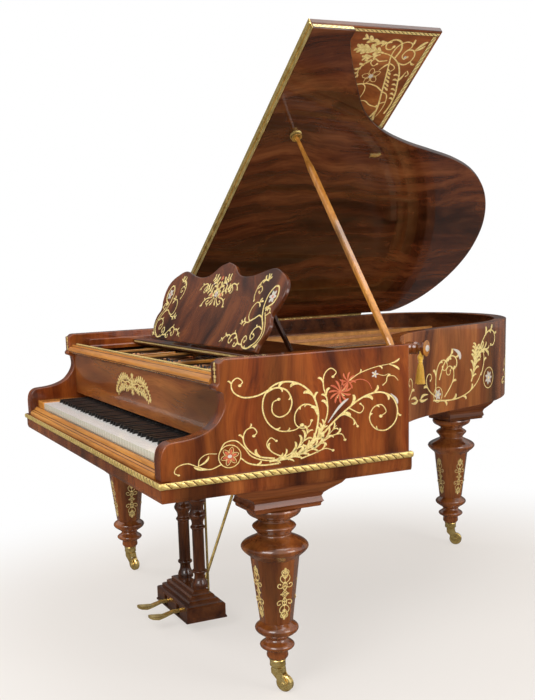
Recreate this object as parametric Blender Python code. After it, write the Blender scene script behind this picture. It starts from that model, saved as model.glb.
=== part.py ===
"""A grand piano on three turned legs, with its lid open on the prop.

Units are metres, +Z is up, +X is the treble side and the keys face -Y.
Sizes are given from the front of the base moulding; the frame empty then
centres the whole on the middle of its footprint, on the floor.
"""

import math

import bmesh
import bpy
from mathutils import Matrix, Vector

# Fits
GAP = 0.0004
RUNNING = 0.0008

# Case
CASE_WIDTH = 1.431
SIDE_THICK = 0.048
SIDE_X = CASE_WIDTH / 2
INNER_X = SIDE_X - SIDE_THICK
RIM_THICK = 0.042
RIM_TOP = 0.946
RIM_BOTTOM = 0.665
CHEEK_REAR = 0.738
ARM_FRONT = 0.008
SPINE_REAR = 1.58
BED_BOTTOM = 0.612
BED_THICK = 0.038
BED_REAR = 0.640

# Base moulding
MOULD_BOTTOM = 0.6005
MOULD_DEPTH = 0.030
MOULD_PROUD = 0.009
MOULD_INSET = 0.003
ROPE_HEIGHT = 0.0165
MOULD_TOP = 0.6535

# Keys
WHITE_COUNT = 50
KEY_BLOCK_WIDTH = 0.080
KEY_PITCH = 2 * (INNER_X - KEY_BLOCK_WIDTH) / WHITE_COUNT
KEY_GAP = 0.0010
KEY_TOP = 0.704
KEY_THICK = 0.022
KEY_FRONT = 0.041
HEAD_LENGTH = 0.050
KEY_REAR = 0.232
KEY_RAIL = 0.030
BLACK_WIDTH = 0.0100
BLACK_RISE = 0.0115
BLACK_DEPTH = 0.014
BLACK_SLOPE = 0.005
BLACK_TAPER = 0.0012
SLOT_CLEARANCE = 0.0012
BLACK_RAIL_LIFT = 0.0065
BLACK_RAIL_THICK = 0.005
KEY_PIVOT_Y = 0.300
KEY_BLOCK_TOP = 0.7065
KEYSLIP_TOP = 0.683
KEYSLIP_FRONT = 0.006

# Fallboard
FALL_PIVOT = (0.192, 0.7215)
FALL_HEIGHT = 0.186
FALL_THICK = 0.016
LIP_DEPTH = 0.044
LIP_HEIGHT = 0.036
FALL_SIDE_GAP = 0.0025

# Music desk
TRAY_FRONT = 0.408
TRAY_DEPTH = 0.300
DESK_RAIL_WIDTH = 0.0675
TRAY_HALF = INNER_X - DESK_RAIL_WIDTH
TRAY_TOP = 0.918
TRAY_THICK = 0.016
DESK_LEAN = 27.0
DESK_THICK = 0.014
DESK_HALF = 0.464
DESK_HEIGHT = 0.290
DESK_PIVOT_Y = 0.420
DESK_PIVOT_RISE = 0.0078
STRUT_ARM = 0.140
STRUT_INSET = 0.084
STRUT_X = DESK_HALF - STRUT_INSET
STRUT_WIDTH = 0.020
STRUT_THICK = 0.009
RAIL_TOP = 0.926
RAIL_FRONT = 0.236
RAIL_REAR = 0.730

# Lid
HINGE_STAND = 0.0010
HINGE_X = -SIDE_X - HINGE_STAND
HINGE_Z = 0.950
LID_THICK = 0.018
LID_LIFT = 0.0015
LID_OVERHANG = 0.0125
LID_SPLIT = 0.612
FLAP_DEPTH = 0.440
LID_OPEN = 36.3
BARREL_R = 0.0030
LEAF_THICK = 0.0015
LEAF_DEPTH = 0.032
LEAF_SPAN = (0.70, 1.50)
CUP_S = 0.73305 * CASE_WIDTH
CUP_Y = 0.727
HOOK_S = 0.67296 * CASE_WIDTH
HOOK_Y = 1.049

# Prop
PROP_INSET = 0.0305
PROP_PIVOT = (SIDE_X - PROP_INSET, 0.704, 0.937)
PROP_WIDTH = 0.018
PROP_THIN = 0.010
PROP_NECK = 0.115
NOTCH = (0.030, 0.034, 0.021)

# Legs
LEG_INSET = 0.0845
LEG_X = SIDE_X - LEG_INSET
LEG_Y = 0.358
REAR_LEG = (-0.37317 * SIDE_X, 1.640)
FERRULE_BOTTOM = 0.0725
FERRULE_TOP = 0.0935
LEG_TOP = 0.5295
BLOCK_HALF = (0.0625, 0.0985)
BLOCK_SHIFT = 0.0135
REAR_HALF = (0.070, 0.080)
REAR_SHIFT = 0.020
WHEEL_R = 0.0245
WHEEL_WIDTH = 0.020
CASTER_TRAIL = 0.021
FORK_WALL = 0.0035
STEM_R = 0.0075

# Lyre
LYRE_Y = 0.367
POST_X = 0.063
POST_R = 0.0185
BOX_BOTTOM = 0.039
BOX_TOP = 0.090
BOX_HALF = 0.137
BOX_FRONT = 0.287
BOX_REAR = 0.424
BOX_WALL = 0.012
PLINTH_STEPS = 3
PLINTH_TOP = 0.131
PLINTH_INSET = 0.014
PLINTH_STEP = 0.013
PEDAL_X = 0.055
PEDAL_TIP = 0.185
PEDAL_PIVOT = (0.340, 0.058)
PEDAL_THICK = 0.008
PEDAL_TRAVEL = 7.0
ROD_Y = 0.400
ROD_R = 0.004
BRACE_R = 0.005
BRACE_SLOPE = 0.40

# Strung back
SOUNDBOARD_TOP = 0.806
SOUNDBOARD_THICK = 0.009
PLATE_TOP = 0.858
PLATE_THICK = 0.012
FLANGE_TOP = 0.882
STRUT_TOP = 0.892
PLATE_FRONT = 0.245
PLATE_WEB = 0.088
BRIDGE_WIDTH = 0.028
BRIDGE_SPAN = (0.80, -0.5393 * INNER_X)
AGRAFFE_Y = 0.470
STRING_Z = 0.872
STRING_SIZE = 0.0014
ACTION_WIDTH = 1.140
BEAM_WIDTH = 0.060
SCALE_SPAN = (-0.1199, 0.8989)
TREBLE_COUNT = 46
TREBLE_FAN = 0.1798
BASS_COUNT = 22

# Peg and tassel
PEG_INSET = 0.0455
PEG_NOSE = (SIDE_X - PEG_INSET, 0.828, 0.926)
PEG_TURN = 30.0
PEG_SHANK_R = 0.009
PEG_REACH = 0.086
PEG_HOLE = 0.100
TASSEL_BACK = 0.0185
TASSEL_LENGTH = 0.094

KEYS_LEFT = -KEY_PITCH * WHITE_COUNT / 2
BED_TOP = BED_BOTTOM + BED_THICK

# The curved side, each point as a share of the half width and its depth
RIM_SHARES = [
    (0.96157, CHEEK_REAR + GAP),
    (0.89448, 0.765),
    (0.74773, 0.836),
    (0.59399, 0.922),
    (0.48218, 1.030),
    (0.40811, 1.150),
    (0.35220, 1.280),
    (0.29909, 1.400),
    (0.22362, 1.510),
    (0.10901, 1.612),
    (-0.04193, 1.698),
    (-0.22362, 1.764),
    (-0.43326, 1.800),
    (-0.63592, 1.796),
    (-0.82460, 1.752),
    (-0.95318, 1.674),
    (-1.0, SPINE_REAR + GAP),
]
RIM_CURVE = [(share * SIDE_X, depth) for share, depth in RIM_SHARES]

WOOD = (0.30, 0.105, 0.045)
DARK_WOOD = (0.15, 0.055, 0.030)
AMBER = (0.47, 0.20, 0.075)
SPRUCE = (0.62, 0.40, 0.19)
BRASS = (0.78, 0.56, 0.22)
GILT = (0.80, 0.62, 0.26)
BRONZE = (0.50, 0.31, 0.15)
IVORY = (0.90, 0.88, 0.80)
EBONY = (0.02, 0.018, 0.017)
STEEL = (0.55, 0.55, 0.55)
SILK = (0.85, 0.52, 0.05)


def material(name, colour, roughness, metallic=0.0):
    found = bpy.data.materials.get(name)
    if found:
        return found
    made = bpy.data.materials.new(name)
    made.use_nodes = True
    shader = made.node_tree.nodes["Principled BSDF"]
    shader.inputs["Base Color"].default_value = (*colour, 1.0)
    shader.inputs["Roughness"].default_value = roughness
    shader.inputs["Metallic"].default_value = metallic
    made.diffuse_color = (*colour, 1.0)
    return made


def rosewood():
    return material("rosewood", WOOD, 0.12)


def dark_wood():
    return material("dark_wood", DARK_WOOD, 0.15)


def amber_wood():
    return material("amber_wood", AMBER, 0.15)


def brass():
    return material("brass", BRASS, 0.25, 1.0)


# Building helpers


def place(name, mesh_builder, finish, parent, origin=(0.0, 0.0, 0.0), bevel=0.0):
    """Turns a bmesh into an object whose own origin is the given point."""
    bmesh.ops.translate(mesh_builder, verts=mesh_builder.verts, vec=-Vector(origin))
    bmesh.ops.recalc_face_normals(mesh_builder, faces=mesh_builder.faces)
    mesh = bpy.data.meshes.new(name)
    mesh_builder.to_mesh(mesh)
    mesh_builder.free()
    mesh.shade_smooth()
    mesh.set_sharp_from_angle(angle=math.radians(30))
    obj = bpy.data.objects.new(name, mesh)
    obj.data.materials.append(finish)
    bpy.context.scene.collection.objects.link(obj)
    obj.location = origin
    obj.parent = parent
    if bevel:
        edge = obj.modifiers.new("edge", "BEVEL")
        edge.width = bevel
        edge.segments = 1
        edge.limit_method = "ANGLE"
        edge.angle_limit = math.radians(50)
    return obj


def empty(name, location, parent=None, rotation=(0.0, 0.0, 0.0)):
    made = bpy.data.objects.new(name, None)
    bpy.context.scene.collection.objects.link(made)
    made.location = location
    made.rotation_euler = rotation
    made.parent = parent
    return made


def prism(outline, axis, low, high):
    """A polygon given across one axis, extruded along it from low to high."""
    shape = bmesh.new()
    lift = {
        "x": lambda a, b: (low, a, b),
        "y": lambda a, b: (a, low, b),
        "z": lambda a, b: (a, b, low),
    }[axis]
    corners = [shape.verts.new(lift(a, b)) for a, b in outline]
    base = shape.faces.new(corners)
    pulled = bmesh.ops.extrude_face_region(shape, geom=[base])
    moved = [part for part in pulled["geom"] if isinstance(part, bmesh.types.BMVert)]
    step = Vector([high - low if axis == name else 0.0 for name in "xyz"])
    bmesh.ops.translate(shape, verts=moved, vec=step)
    return shape


def box(low, high):
    """A rectangular block between two corners."""
    (x0, y0, z0), (x1, y1, z1) = low, high
    return prism([(x0, y0), (x1, y0), (x1, y1), (x0, y1)], "z", z0, z1)


def lofted(rings):
    """Joins rings of equal point counts into one closed body."""
    shape = bmesh.new()
    loops = [[shape.verts.new(point) for point in ring] for ring in rings]
    count = len(loops[0])
    for below, above in zip(loops, loops[1:]):
        for i in range(count):
            j = (i + 1) % count
            shape.faces.new((below[i], below[j], above[j], above[i]))
    shape.faces.new(loops[0])
    shape.faces.new(loops[-1])
    return shape


def turned(profile, sides=16, centre=(0.0, 0.0)):
    """A solid of revolution about a vertical axis; profile is (radius, height)."""
    shape = bmesh.new()
    x, y = centre
    chain = [shape.verts.new((x + radius, y, height)) for radius, height in profile]
    edges = [shape.edges.new(pair) for pair in zip(chain, chain[1:])]
    bmesh.ops.spin(
        shape,
        geom=chain + edges,
        cent=(x, y, 0.0),
        axis=(0.0, 0.0, 1.0),
        angle=math.tau,
        steps=sides,
    )
    bmesh.ops.remove_doubles(shape, verts=shape.verts, dist=1e-6)
    return shape


def tilted(shape, axis_from, axis_to):
    """Turns a body that stands on +Z so that it points from one place to another."""
    direction = Vector(axis_to) - Vector(axis_from)
    turn = direction.to_track_quat("Z", "Y").to_matrix().to_4x4()
    bmesh.ops.transform(
        shape, matrix=Matrix.Translation(Vector(axis_from)) @ turn, verts=shape.verts
    )
    return shape


def rod(start, end, radius, sides=10):
    length = (Vector(end) - Vector(start)).length
    body = turned([(0, 0), (radius, 0), (radius, length), (0, length)], sides)
    return tilted(body, start, end)


def smooth_curve(points, steps):
    """Points on a Catmull-Rom curve through the given ones."""
    knots = [Vector((*p, 0.0)) for p in points]
    knots = [2 * knots[0] - knots[1]] + knots + [2 * knots[-1] - knots[-2]]
    found = []
    for a, b, c, d in zip(knots, knots[1:], knots[2:], knots[3:]):
        for step in range(steps):
            t = step / steps
            found.append(
                0.5
                * (
                    2 * b
                    + (c - a) * t
                    + (2 * a - 5 * b + 4 * c - d) * t * t
                    + (3 * b - 3 * c + d - a) * t**3
                )
            )
    found.append(knots[-2])
    return found


def rim_line(inset, clear=GAP, steps=2):
    """The curved side's plan, from the cheek round the tail to the spine."""
    line = smooth_curve(RIM_CURVE, steps)
    shifted = []
    for i, point in enumerate(line):
        along = line[min(i + 1, len(line) - 1)] - line[max(i - 1, 0)]
        inward = Vector((-along.y, along.x, 0.0)).normalized()
        moved = point + inward * inset
        stop = SPINE_REAR if moved.x < -0.9 * INNER_X else CHEEK_REAR
        here = Vector((moved.x, max(moved.y, stop + clear)))
        if not shifted or (here - shifted[-1]).length > 0.004:
            shifted.append(here)
    return [(here.x, here.y) for here in shifted]


def cutter(name, shape, parent):
    made = place(name, shape, dark_wood(), parent)
    made.hide_render = True
    made.display_type = "WIRE"
    return made


def boolean(target, other, operation):
    step = target.modifiers.new(other.name, "BOOLEAN")
    step.operation = operation
    step.object = other
    step.solver = "EXACT"


# Case


def arm_profile(rear, rear_bottom):
    """Side view of an arm with its scroll, run back to the given depth."""
    front = ARM_FRONT
    scroll = [
        (front, MOULD_TOP + GAP),
        (front, 0.707),
        (0.012, 0.727),
        (0.022, 0.742),
        (0.039, 0.750),
        (0.076, 0.753),
        (0.114, 0.760),
        (0.148, 0.774),
        (0.169, 0.794),
        (0.183, 0.817),
        (0.187, 0.838),
        (0.184, 0.862),
        (0.166, 0.869),
        (0.165, 0.878),
        (0.172, 0.886),
        (0.172, RIM_TOP - 0.010),
        (0.180, RIM_TOP - 0.008),
        (0.188, RIM_TOP - 0.001),
        (0.197, RIM_TOP),
        (rear, RIM_TOP),
        (rear, rear_bottom),
    ]
    step = [] if rear_bottom == BED_BOTTOM else [(CHEEK_REAR, rear_bottom)]
    foot = [
        (CHEEK_REAR, BED_BOTTOM),
        (MOULD_DEPTH + GAP, BED_BOTTOM),
        (MOULD_DEPTH + GAP, MOULD_TOP + GAP),
    ]
    if rear_bottom == BED_BOTTOM:
        foot = foot[1:]
    return scroll + step + foot


def make_case(frame):
    side = arm_profile(SPINE_REAR, RIM_BOTTOM)
    place("bass_side", prism(side, "x", -SIDE_X, -INNER_X), rosewood(), frame)
    cheek = arm_profile(CHEEK_REAR, BED_BOTTOM)
    cheek_obj = place("treble_cheek", prism(cheek, "x", INNER_X, SIDE_X), rosewood(), frame)
    px, py, pz = PROP_PIVOT
    wide, long, deep = NOTCH
    pocket = box(
        (INNER_X - deep, py - long / 2, RIM_TOP - deep),
        (px + wide / 2, py + long / 2, RIM_TOP + deep),
    )
    boolean(cheek_obj, cutter("prop_pocket", pocket, frame), "DIFFERENCE")
    outer = rim_line(0.0)
    inner = rim_line(RIM_THICK)
    rim = prism(outer + inner[::-1], "z", RIM_BOTTOM, RIM_TOP)
    place("bentside_rim", rim, rosewood(), frame)


def base_outline(proud, inner_inset=0.0):
    """Plan of the moulding that runs round the front and both sides."""
    x = SIDE_X + MOULD_PROUD + proud
    y = -proud
    inside = SIDE_X + GAP + inner_inset
    rear = CHEEK_REAR + 0.004
    depth = MOULD_DEPTH
    right = [(x, y), (x, rear), (inside, rear), (inside, depth)]
    left = [(-a, b) for a, b in reversed(right)]
    return left[-1:] + right + left[:-1]


def make_base(frame):
    rope_bottom = MOULD_TOP - ROPE_HEIGHT
    levels = [
        (MOULD_BOTTOM, -MOULD_INSET * 2),
        (MOULD_BOTTOM + 0.010, -MOULD_INSET),
        (rope_bottom - GAP, -MOULD_INSET),
        (rope_bottom, 0.0),
        (MOULD_TOP, 0.0),
    ]
    rings = [[(x, y, z) for x, y in base_outline(proud)] for z, proud in levels]
    place("base_moulding", lofted(rings), dark_wood(), frame)
    edge = INNER_X - GAP
    bed = box((-edge, MOULD_DEPTH + GAP, BED_BOTTOM), (edge, BED_REAR, BED_TOP))
    place("keybed", bed, dark_wood(), frame)
    slip = [
        (MOULD_DEPTH, MOULD_TOP + GAP),
        (KEY_FRONT - 0.004, MOULD_TOP + GAP),
        (KEY_FRONT - 0.004, KEYSLIP_TOP),
        (0.031, KEYSLIP_TOP + 0.001),
        (0.025, KEYSLIP_TOP - 0.004),
        (0.020, KEYSLIP_TOP - 0.011),
        (0.011, KEYSLIP_TOP - 0.014),
        (KEYSLIP_FRONT, KEYSLIP_TOP - 0.020),
        (KEYSLIP_FRONT, MOULD_TOP + GAP),
    ]
    place("keyslip", prism(slip, "x", -edge, edge), amber_wood(), frame)
    block_rear = FALL_PIVOT[0] - 0.002
    for name, outer, inner in (
        ("key_block_bass", -edge, KEYS_LEFT - 0.004),
        ("key_block_treble", edge, -KEYS_LEFT + 0.004),
    ):
        low, high = sorted((outer, inner))
        block = box((low, KEY_FRONT - 0.003, BED_TOP + GAP), (high, block_rear, KEY_BLOCK_TOP))
        place(name, block, amber_wood(), frame, bevel=0.002)


# Keyboard

BLACK_AFTER = {0: -0.0018, 1: 0.0018, 3: -0.0026, 4: 0.0, 5: 0.0026}
FIRST_WHITE = 5


def black_centres():
    """Middle of each black key, by the white key on its left."""
    found = {}
    for white in range(WHITE_COUNT - 1):
        shift = BLACK_AFTER.get((white + FIRST_WHITE) % 7)
        if shift is not None:
            found[white] = KEYS_LEFT + KEY_PITCH * (white + 1) + shift
    return found


def comb(fingers, rail_rear):
    """Plan outline of fingers that are joined by a rail behind them."""
    points = []
    for finger in fingers:
        points.extend(finger)
    points.append((fingers[-1][-1][0], rail_rear))
    points.append((fingers[0][0][0], rail_rear))
    return [(x, min(y, rail_rear)) for x, y in points]


def white_fingers():
    centres = black_centres()
    slot = BLACK_WIDTH / 2 + SLOT_CLEARANCE
    front = KEY_FRONT
    notch = KEY_FRONT + HEAD_LENGTH
    rear = KEY_REAR - KEY_RAIL
    fingers = []
    for white in range(WHITE_COUNT):
        left = KEYS_LEFT + KEY_PITCH * white + KEY_GAP / 2
        right = left + KEY_PITCH - KEY_GAP
        back_left = centres[white - 1] + slot if white - 1 in centres else left
        back_right = centres[white] - slot if white in centres else right
        finger = [(back_left, rear)]
        if back_left != left:
            finger.append((back_left, notch))
            finger.append((left, notch))
        finger.append((left, front))
        finger.append((right, front))
        if back_right != right:
            finger.append((right, notch))
            finger.append((back_right, notch))
        finger.append((back_right, rear))
        fingers.append(finger)
    return fingers


def make_keys(frame):
    pivot = (0.0, KEY_PIVOT_Y, KEY_TOP - KEY_THICK)
    whites = comb(white_fingers(), KEY_REAR)
    ivory = material("key_white", IVORY, 0.25)
    place("white_keys", prism(whites, "z", KEY_TOP - KEY_THICK, KEY_TOP), ivory, frame, pivot)
    half = BLACK_WIDTH / 2
    front = KEY_FRONT + HEAD_LENGTH + SLOT_CLEARANCE
    rail_front = FALL_PIVOT[0] + 0.006
    low = KEY_TOP + BLACK_RISE - BLACK_DEPTH - BLACK_RAIL_THICK
    top = KEY_TOP + BLACK_RISE
    rail_low = KEY_TOP + BLACK_RAIL_LIFT
    side = [
        (front, low),
        (rail_front - 0.001, low),
        (rail_front - 0.001, rail_low),
        (KEY_REAR, rail_low),
        (KEY_REAR, top),
        (front + BLACK_SLOPE, top),
    ]
    ebony = material("key_black", EBONY, 0.2)
    rail = box((black_centres()[0] - half, rail_front, rail_low), (-KEYS_LEFT, KEY_REAR, top - GAP))
    bank = place("black_keys", rail, ebony, frame, pivot)
    blacks = bpy.data.collections.new("black_key_shapes")
    for white, centre in black_centres().items():
        shape = prism(side, "x", centre - half, centre + half)
        for vert in shape.verts:
            if vert.co.z > top - GAP:
                vert.co.x += BLACK_TAPER * (1 if vert.co.x < centre else -1)
        key = cutter(f"black_key_{white}", shape, frame)
        blacks.objects.link(key)
        bpy.context.scene.collection.objects.unlink(key)
    bpy.context.scene.collection.children.link(blacks)
    join = bank.modifiers.new("keys", "BOOLEAN")
    join.operation = "UNION"
    join.operand_type = "COLLECTION"
    join.collection = blacks
    join.solver = "EXACT"


def make_fallboard(frame):
    py, pz = FALL_PIVOT
    edge = INNER_X - FALL_SIDE_GAP
    foot = pz + 0.003
    top = pz + FALL_HEIGHT
    lip_bottom = top - LIP_HEIGHT
    board = [
        (py - 0.002, foot),
        (py + 0.006, foot),
        (py + FALL_THICK - 0.002, foot + 0.010),
        (py + FALL_THICK - 0.002, top - 0.006),
        (py - 0.002, top - 0.006),
    ]
    origin = (0.0, py, pz)
    place("fallboard", prism(board, "x", -edge, edge), rosewood(), frame, origin)
    face = py - 0.002 - GAP
    nose = face - LIP_DEPTH * 0.5
    lip = [
        (face, lip_bottom),
        (face, top),
        (face - 0.005, top),
        (face - 0.008, top - 0.006),
        (face - 0.013, top - 0.008),
        (nose, top - 0.015),
        (nose - 0.001, top - 0.022),
        (nose + 0.004, top - 0.029),
        (face - 0.010, top - 0.033),
    ]
    place("fallboard_lip", prism(lip, "x", -edge, edge), amber_wood(), frame, origin)


# Music desk


def desk_outline():
    """Half of the panel's top edge, from the middle to the foot."""
    crest = [
        (0.0000, 1.0000),
        (0.1185, 0.9552),
        (0.2328, 0.8552),
        (0.3448, 0.8207),
        (0.4849, 0.8345),
        (0.7220, 0.9069),
        (0.8621, 0.8552),
        (0.9655, 0.7655),
        (1.0000, 0.6414),
        (0.9784, 0.5000),
        (0.9397, 0.3931),
        (0.9741, 0.2966),
        (0.9698, 0.1897),
        (0.9353, 0.0966),
        (0.9310, 0.0000),
    ]
    half = [(p.x * DESK_HALF, p.y * DESK_HEIGHT) for p in smooth_curve(crest, 2)]
    return half[::-1] + [(-x, y) for x, y in half[1:]]


def make_desk(frame):
    tray = box(
        (-TRAY_HALF, TRAY_FRONT, TRAY_TOP - TRAY_THICK),
        (TRAY_HALF, TRAY_FRONT + TRAY_DEPTH, TRAY_TOP),
    )
    place("desk_tray", tray, dark_wood(), frame, (0.0, TRAY_FRONT, TRAY_TOP), bevel=0.002)
    shelf_z = TRAY_TOP - TRAY_THICK - GAP
    for name, side in (("desk_rail_bass", -1), ("desk_rail_treble", 1)):
        wall = side * (INNER_X - GAP)
        inner = side * (TRAY_HALF - 0.014)
        stop = side * (TRAY_HALF + 0.002)
        profile = [
            (wall, RAIL_TOP),
            (stop, RAIL_TOP),
            (stop, shelf_z),
            (inner, shelf_z),
            (inner, shelf_z - 0.014),
            (wall, shelf_z - 0.014),
        ]
        place(name, prism(profile, "y", RAIL_FRONT, RAIL_REAR), amber_wood(), frame, bevel=0.0015)
    lean = math.radians(DESK_LEAN)
    pivot = (0.0, DESK_PIVOT_Y, TRAY_TOP + DESK_PIVOT_RISE)
    axis = empty("desk_axis", pivot, frame, (-lean, 0.0, 0.0))
    panel = prism(desk_outline(), "y", -DESK_THICK / 2, DESK_THICK / 2)
    place("desk_panel", panel, rosewood(), axis, bevel=0.003)
    back = DESK_THICK / 2 + GAP
    hang = back + STRUT_THICK / 2
    lift = math.cos(lean) * STRUT_ARM - math.sin(lean) * hang + DESK_PIVOT_RISE
    length = lift / math.cos(lean)
    for name, side in (("desk_strut_bass", -1), ("desk_strut_treble", 1)):
        x = side * STRUT_X
        joint = empty(f"{name}_axis", (x, hang, STRUT_ARM), axis, (2 * lean, 0.0, 0.0))
        end = STRUT_THICK / 2
        foot = GAP + end * math.tan(lean) - length
        strut = [(end * math.cos(a), end * math.sin(a)) for a in (math.pi * k / 6 for k in range(7))]
        strut += [(-end, foot), (end, foot)]
        half = STRUT_WIDTH / 2
        place(name, prism(strut, "x", -half, half), dark_wood(), joint, bevel=0.001)


# Lid


def lid_plan():
    """The main board's closed outline, from the spine edge of its front round to the tail."""
    start = HINGE_X + BARREL_R + 2 * LEAF_THICK + GAP
    treble = SIDE_X + LID_OVERHANG
    front = LID_SPLIT + 0.0008
    curve = [(max(x, start), y) for x, y in rim_line(-LID_OVERHANG)[3:]]
    return [(start, front), (treble, front), (treble, CHEEK_REAR + LID_OVERHANG)] + curve


def lid_left_edge():
    """How far the open lid leans out past the hinge, to the folded flap's corner."""
    angle = math.radians(LID_OPEN)
    under = RIM_TOP + LID_LIFT - HINGE_Z
    edge = BARREL_R + 2 * LEAF_THICK + GAP
    top = under + 2 * (LID_THICK + GAP)
    return HINGE_X + edge * math.cos(angle) - top * math.sin(angle)


def make_lid(frame):
    hinge = (HINGE_X, 0.0, HINGE_Z)
    axis = empty("lid_axis", hinge, frame, (0.0, -math.radians(LID_OPEN), 0.0))
    under = RIM_TOP + LID_LIFT - HINGE_Z
    upper = under + LID_THICK
    board = prism([(x - HINGE_X, y) for x, y in lid_plan()], "z", under, upper)
    place("lid_main", board, rosewood(), axis, bevel=0.0035)
    leaf_x = BARREL_R + LEAF_THICK
    leaf = box((leaf_x, LEAF_SPAN[0], under), (leaf_x + LEAF_THICK, LEAF_SPAN[1], upper))
    place("spine_hinge_lid_leaf", leaf, brass(), axis)
    ring = [
        (BARREL_R * math.sin(a), BARREL_R * math.cos(a))
        for a in (math.radians(150 - 30 * k) for k in range(11))
    ]
    face = -SIDE_X - GAP - HINGE_X
    foot = RIM_TOP - LEAF_DEPTH - HINGE_Z
    case_leaf = [(face - LEAF_THICK, foot), (face, foot), (face, -BARREL_R - GAP)] + ring
    body = prism([(x + HINGE_X, z + HINGE_Z) for x, z in case_leaf], "y", *LEAF_SPAN)
    place("spine_hinge_case_leaf", body, brass(), frame)

    fold_y = LID_SPLIT - BARREL_R + LEAF_THICK / 2
    fold_z = upper + GAP
    left = BARREL_R + 2 * LEAF_THICK + GAP
    right = SIDE_X + LID_OVERHANG - HINGE_X
    front = LID_SPLIT + 0.0008
    plate = [(LID_SPLIT - LEAF_THICK + 0.0006, under), (LID_SPLIT + 0.0004, under)]
    barrel = [
        (fold_y + BARREL_R * math.cos(a), fold_z + BARREL_R * math.sin(a))
        for a in (math.radians(-40 + 28 * k) for k in range(11))
    ]
    neck = [(LID_SPLIT - LEAF_THICK + 0.0006, fold_z - BARREL_R + LEAF_THICK / 8)]
    hinge_profile = plate + barrel + neck
    place("flap_hinge_lid_leaf", prism(hinge_profile, "x", left, right), brass(), axis)

    flap_axis = empty("flap_axis", (0.0, fold_y, fold_z), axis)
    flap = box(
        (left, front - fold_y, GAP),
        (right, front - fold_y + FLAP_DEPTH, GAP + LID_THICK),
    )
    place("lid_flap", flap, rosewood(), flap_axis, bevel=0.0035)
    leaf_low = BARREL_R + GAP
    flap_leaf = box(
        (left, LID_SPLIT - LEAF_THICK + 0.0006 - fold_y, leaf_low),
        (right, LID_SPLIT + 0.0004 - fold_y, GAP + LID_THICK),
    )
    place("flap_hinge_flap_leaf", flap_leaf, brass(), flap_axis)

    cup = turned(
        [
            (0.0, under - GAP),
            (0.020, under - GAP),
            (0.020, under - 0.003),
            (0.017, under - 0.006),
            (0.0175, under - 0.013),
            (0.0125, under - 0.013),
            (0.0120, under - 0.005),
            (0.0, under - 0.005),
        ],
        16,
        (CUP_S, CUP_Y),
    )
    place("prop_cup", cup, brass(), axis)
    hook_z = under - GAP
    hook = [
        (-0.005, -0.005),
        (0.005, -0.005),
        (0.006, 0.022),
        (0.012, 0.030),
        (0.008, 0.036),
        (-0.001, 0.030),
        (-0.005, 0.020),
    ]
    plan = [(HOOK_S + x, HOOK_Y + y) for x, y in hook]
    hook_body = prism(plan, "z", hook_z - 0.004, hook_z)
    place("lid_hook", hook_body, brass(), axis, (HOOK_S, HOOK_Y, hook_z))
    return under


def cup_point(under):
    """Where the prop's tip sits under the open lid, in the frame's coordinates."""
    angle = math.radians(LID_OPEN)
    depth = under - 0.0075
    x = HINGE_X + CUP_S * math.cos(angle) - depth * math.sin(angle)
    z = HINGE_Z + CUP_S * math.sin(angle) + depth * math.cos(angle)
    return Vector((x, CUP_Y, z))


def make_prop(frame, under):
    base = Vector(PROP_PIVOT)
    length = (cup_point(under) - base).length
    wide = PROP_WIDTH / 2
    thin = PROP_THIN / 2
    neck = length - PROP_NECK
    rings = []
    for along, half in (
        (-0.006, wide * 0.5),
        (-0.002, wide * 0.8),
        (0.030, wide),
        (neck - 0.030, wide),
        (neck, wide * 0.75),
        (neck + 0.020, thin * 1.1),
        (length - 0.008, thin * 0.9),
        (length, thin * 0.5),
    ):
        cut = half * 0.35
        rings.append(
            [
                (half, -half + cut, along),
                (half, half - cut, along),
                (half - cut, half, along),
                (-half + cut, half, along),
                (-half, half - cut, along),
                (-half, -half + cut, along),
                (-half + cut, -half, along),
                (half - cut, -half, along),
            ]
        )
    stick = tilted(lofted(rings), base, cup_point(under))
    place("prop_stick", stick, amber_wood(), frame, PROP_PIVOT)
    wide, long, deep = NOTCH
    px, py, pz = PROP_PIVOT
    floor = RIM_TOP - deep + GAP
    cheeks = [
        (py - long / 2 + GAP, floor),
        (py + long / 2 - GAP, floor),
        (py + long / 2 - GAP, RIM_TOP - 0.001),
        (py + long / 2 - 0.004, RIM_TOP - 0.001),
        (py + long / 2 - 0.004, floor + 0.002),
        (py - long / 2 + 0.004, floor + 0.002),
        (py - long / 2 + 0.004, RIM_TOP - 0.001),
        (py - long / 2 + GAP, RIM_TOP - 0.001),
    ]
    fork = prism(cheeks, "x", INNER_X + 0.002, px + wide / 2 - GAP)
    place("prop_bracket", fork, brass(), frame)


# Legs and casters

LEG_PROFILE = [
    (0.0730, LEG_TOP, 1),
    (0.0745, 0.5220, 1),
    (0.0680, 0.5110, 1),
    (0.0500, 0.5005, 1),
    (0.0425, 0.4935, 1),
    (0.0480, 0.4880, 1),
    (0.0600, 0.4775, 1),
    (0.0500, 0.4640, 1),
    (0.0455, 0.4555, 1),
    (0.0540, 0.4490, 1),
    (0.0820, 0.4350, 1),
    (0.0925, 0.4230, 1),
    (0.0880, 0.4120, 1),
    (0.0750, 0.4000, 1),
    (0.0670, 0.3925, 1),
    (0.0620, 0.3880, 0),
    (0.0425, 0.2070, 0),
    (0.0425, 0.2050, 1),
    (0.0595, 0.1910, 1),
    (0.0560, 0.1770, 1),
    (0.0300, 0.1560, 1),
    (0.0475, 0.1390, 1),
    (0.0440, 0.1290, 1),
    (0.0300, 0.1200, 1),
    (0.0300, 0.1030, 1),
    (0.0220, FERRULE_TOP + GAP, 1),
]


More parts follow.
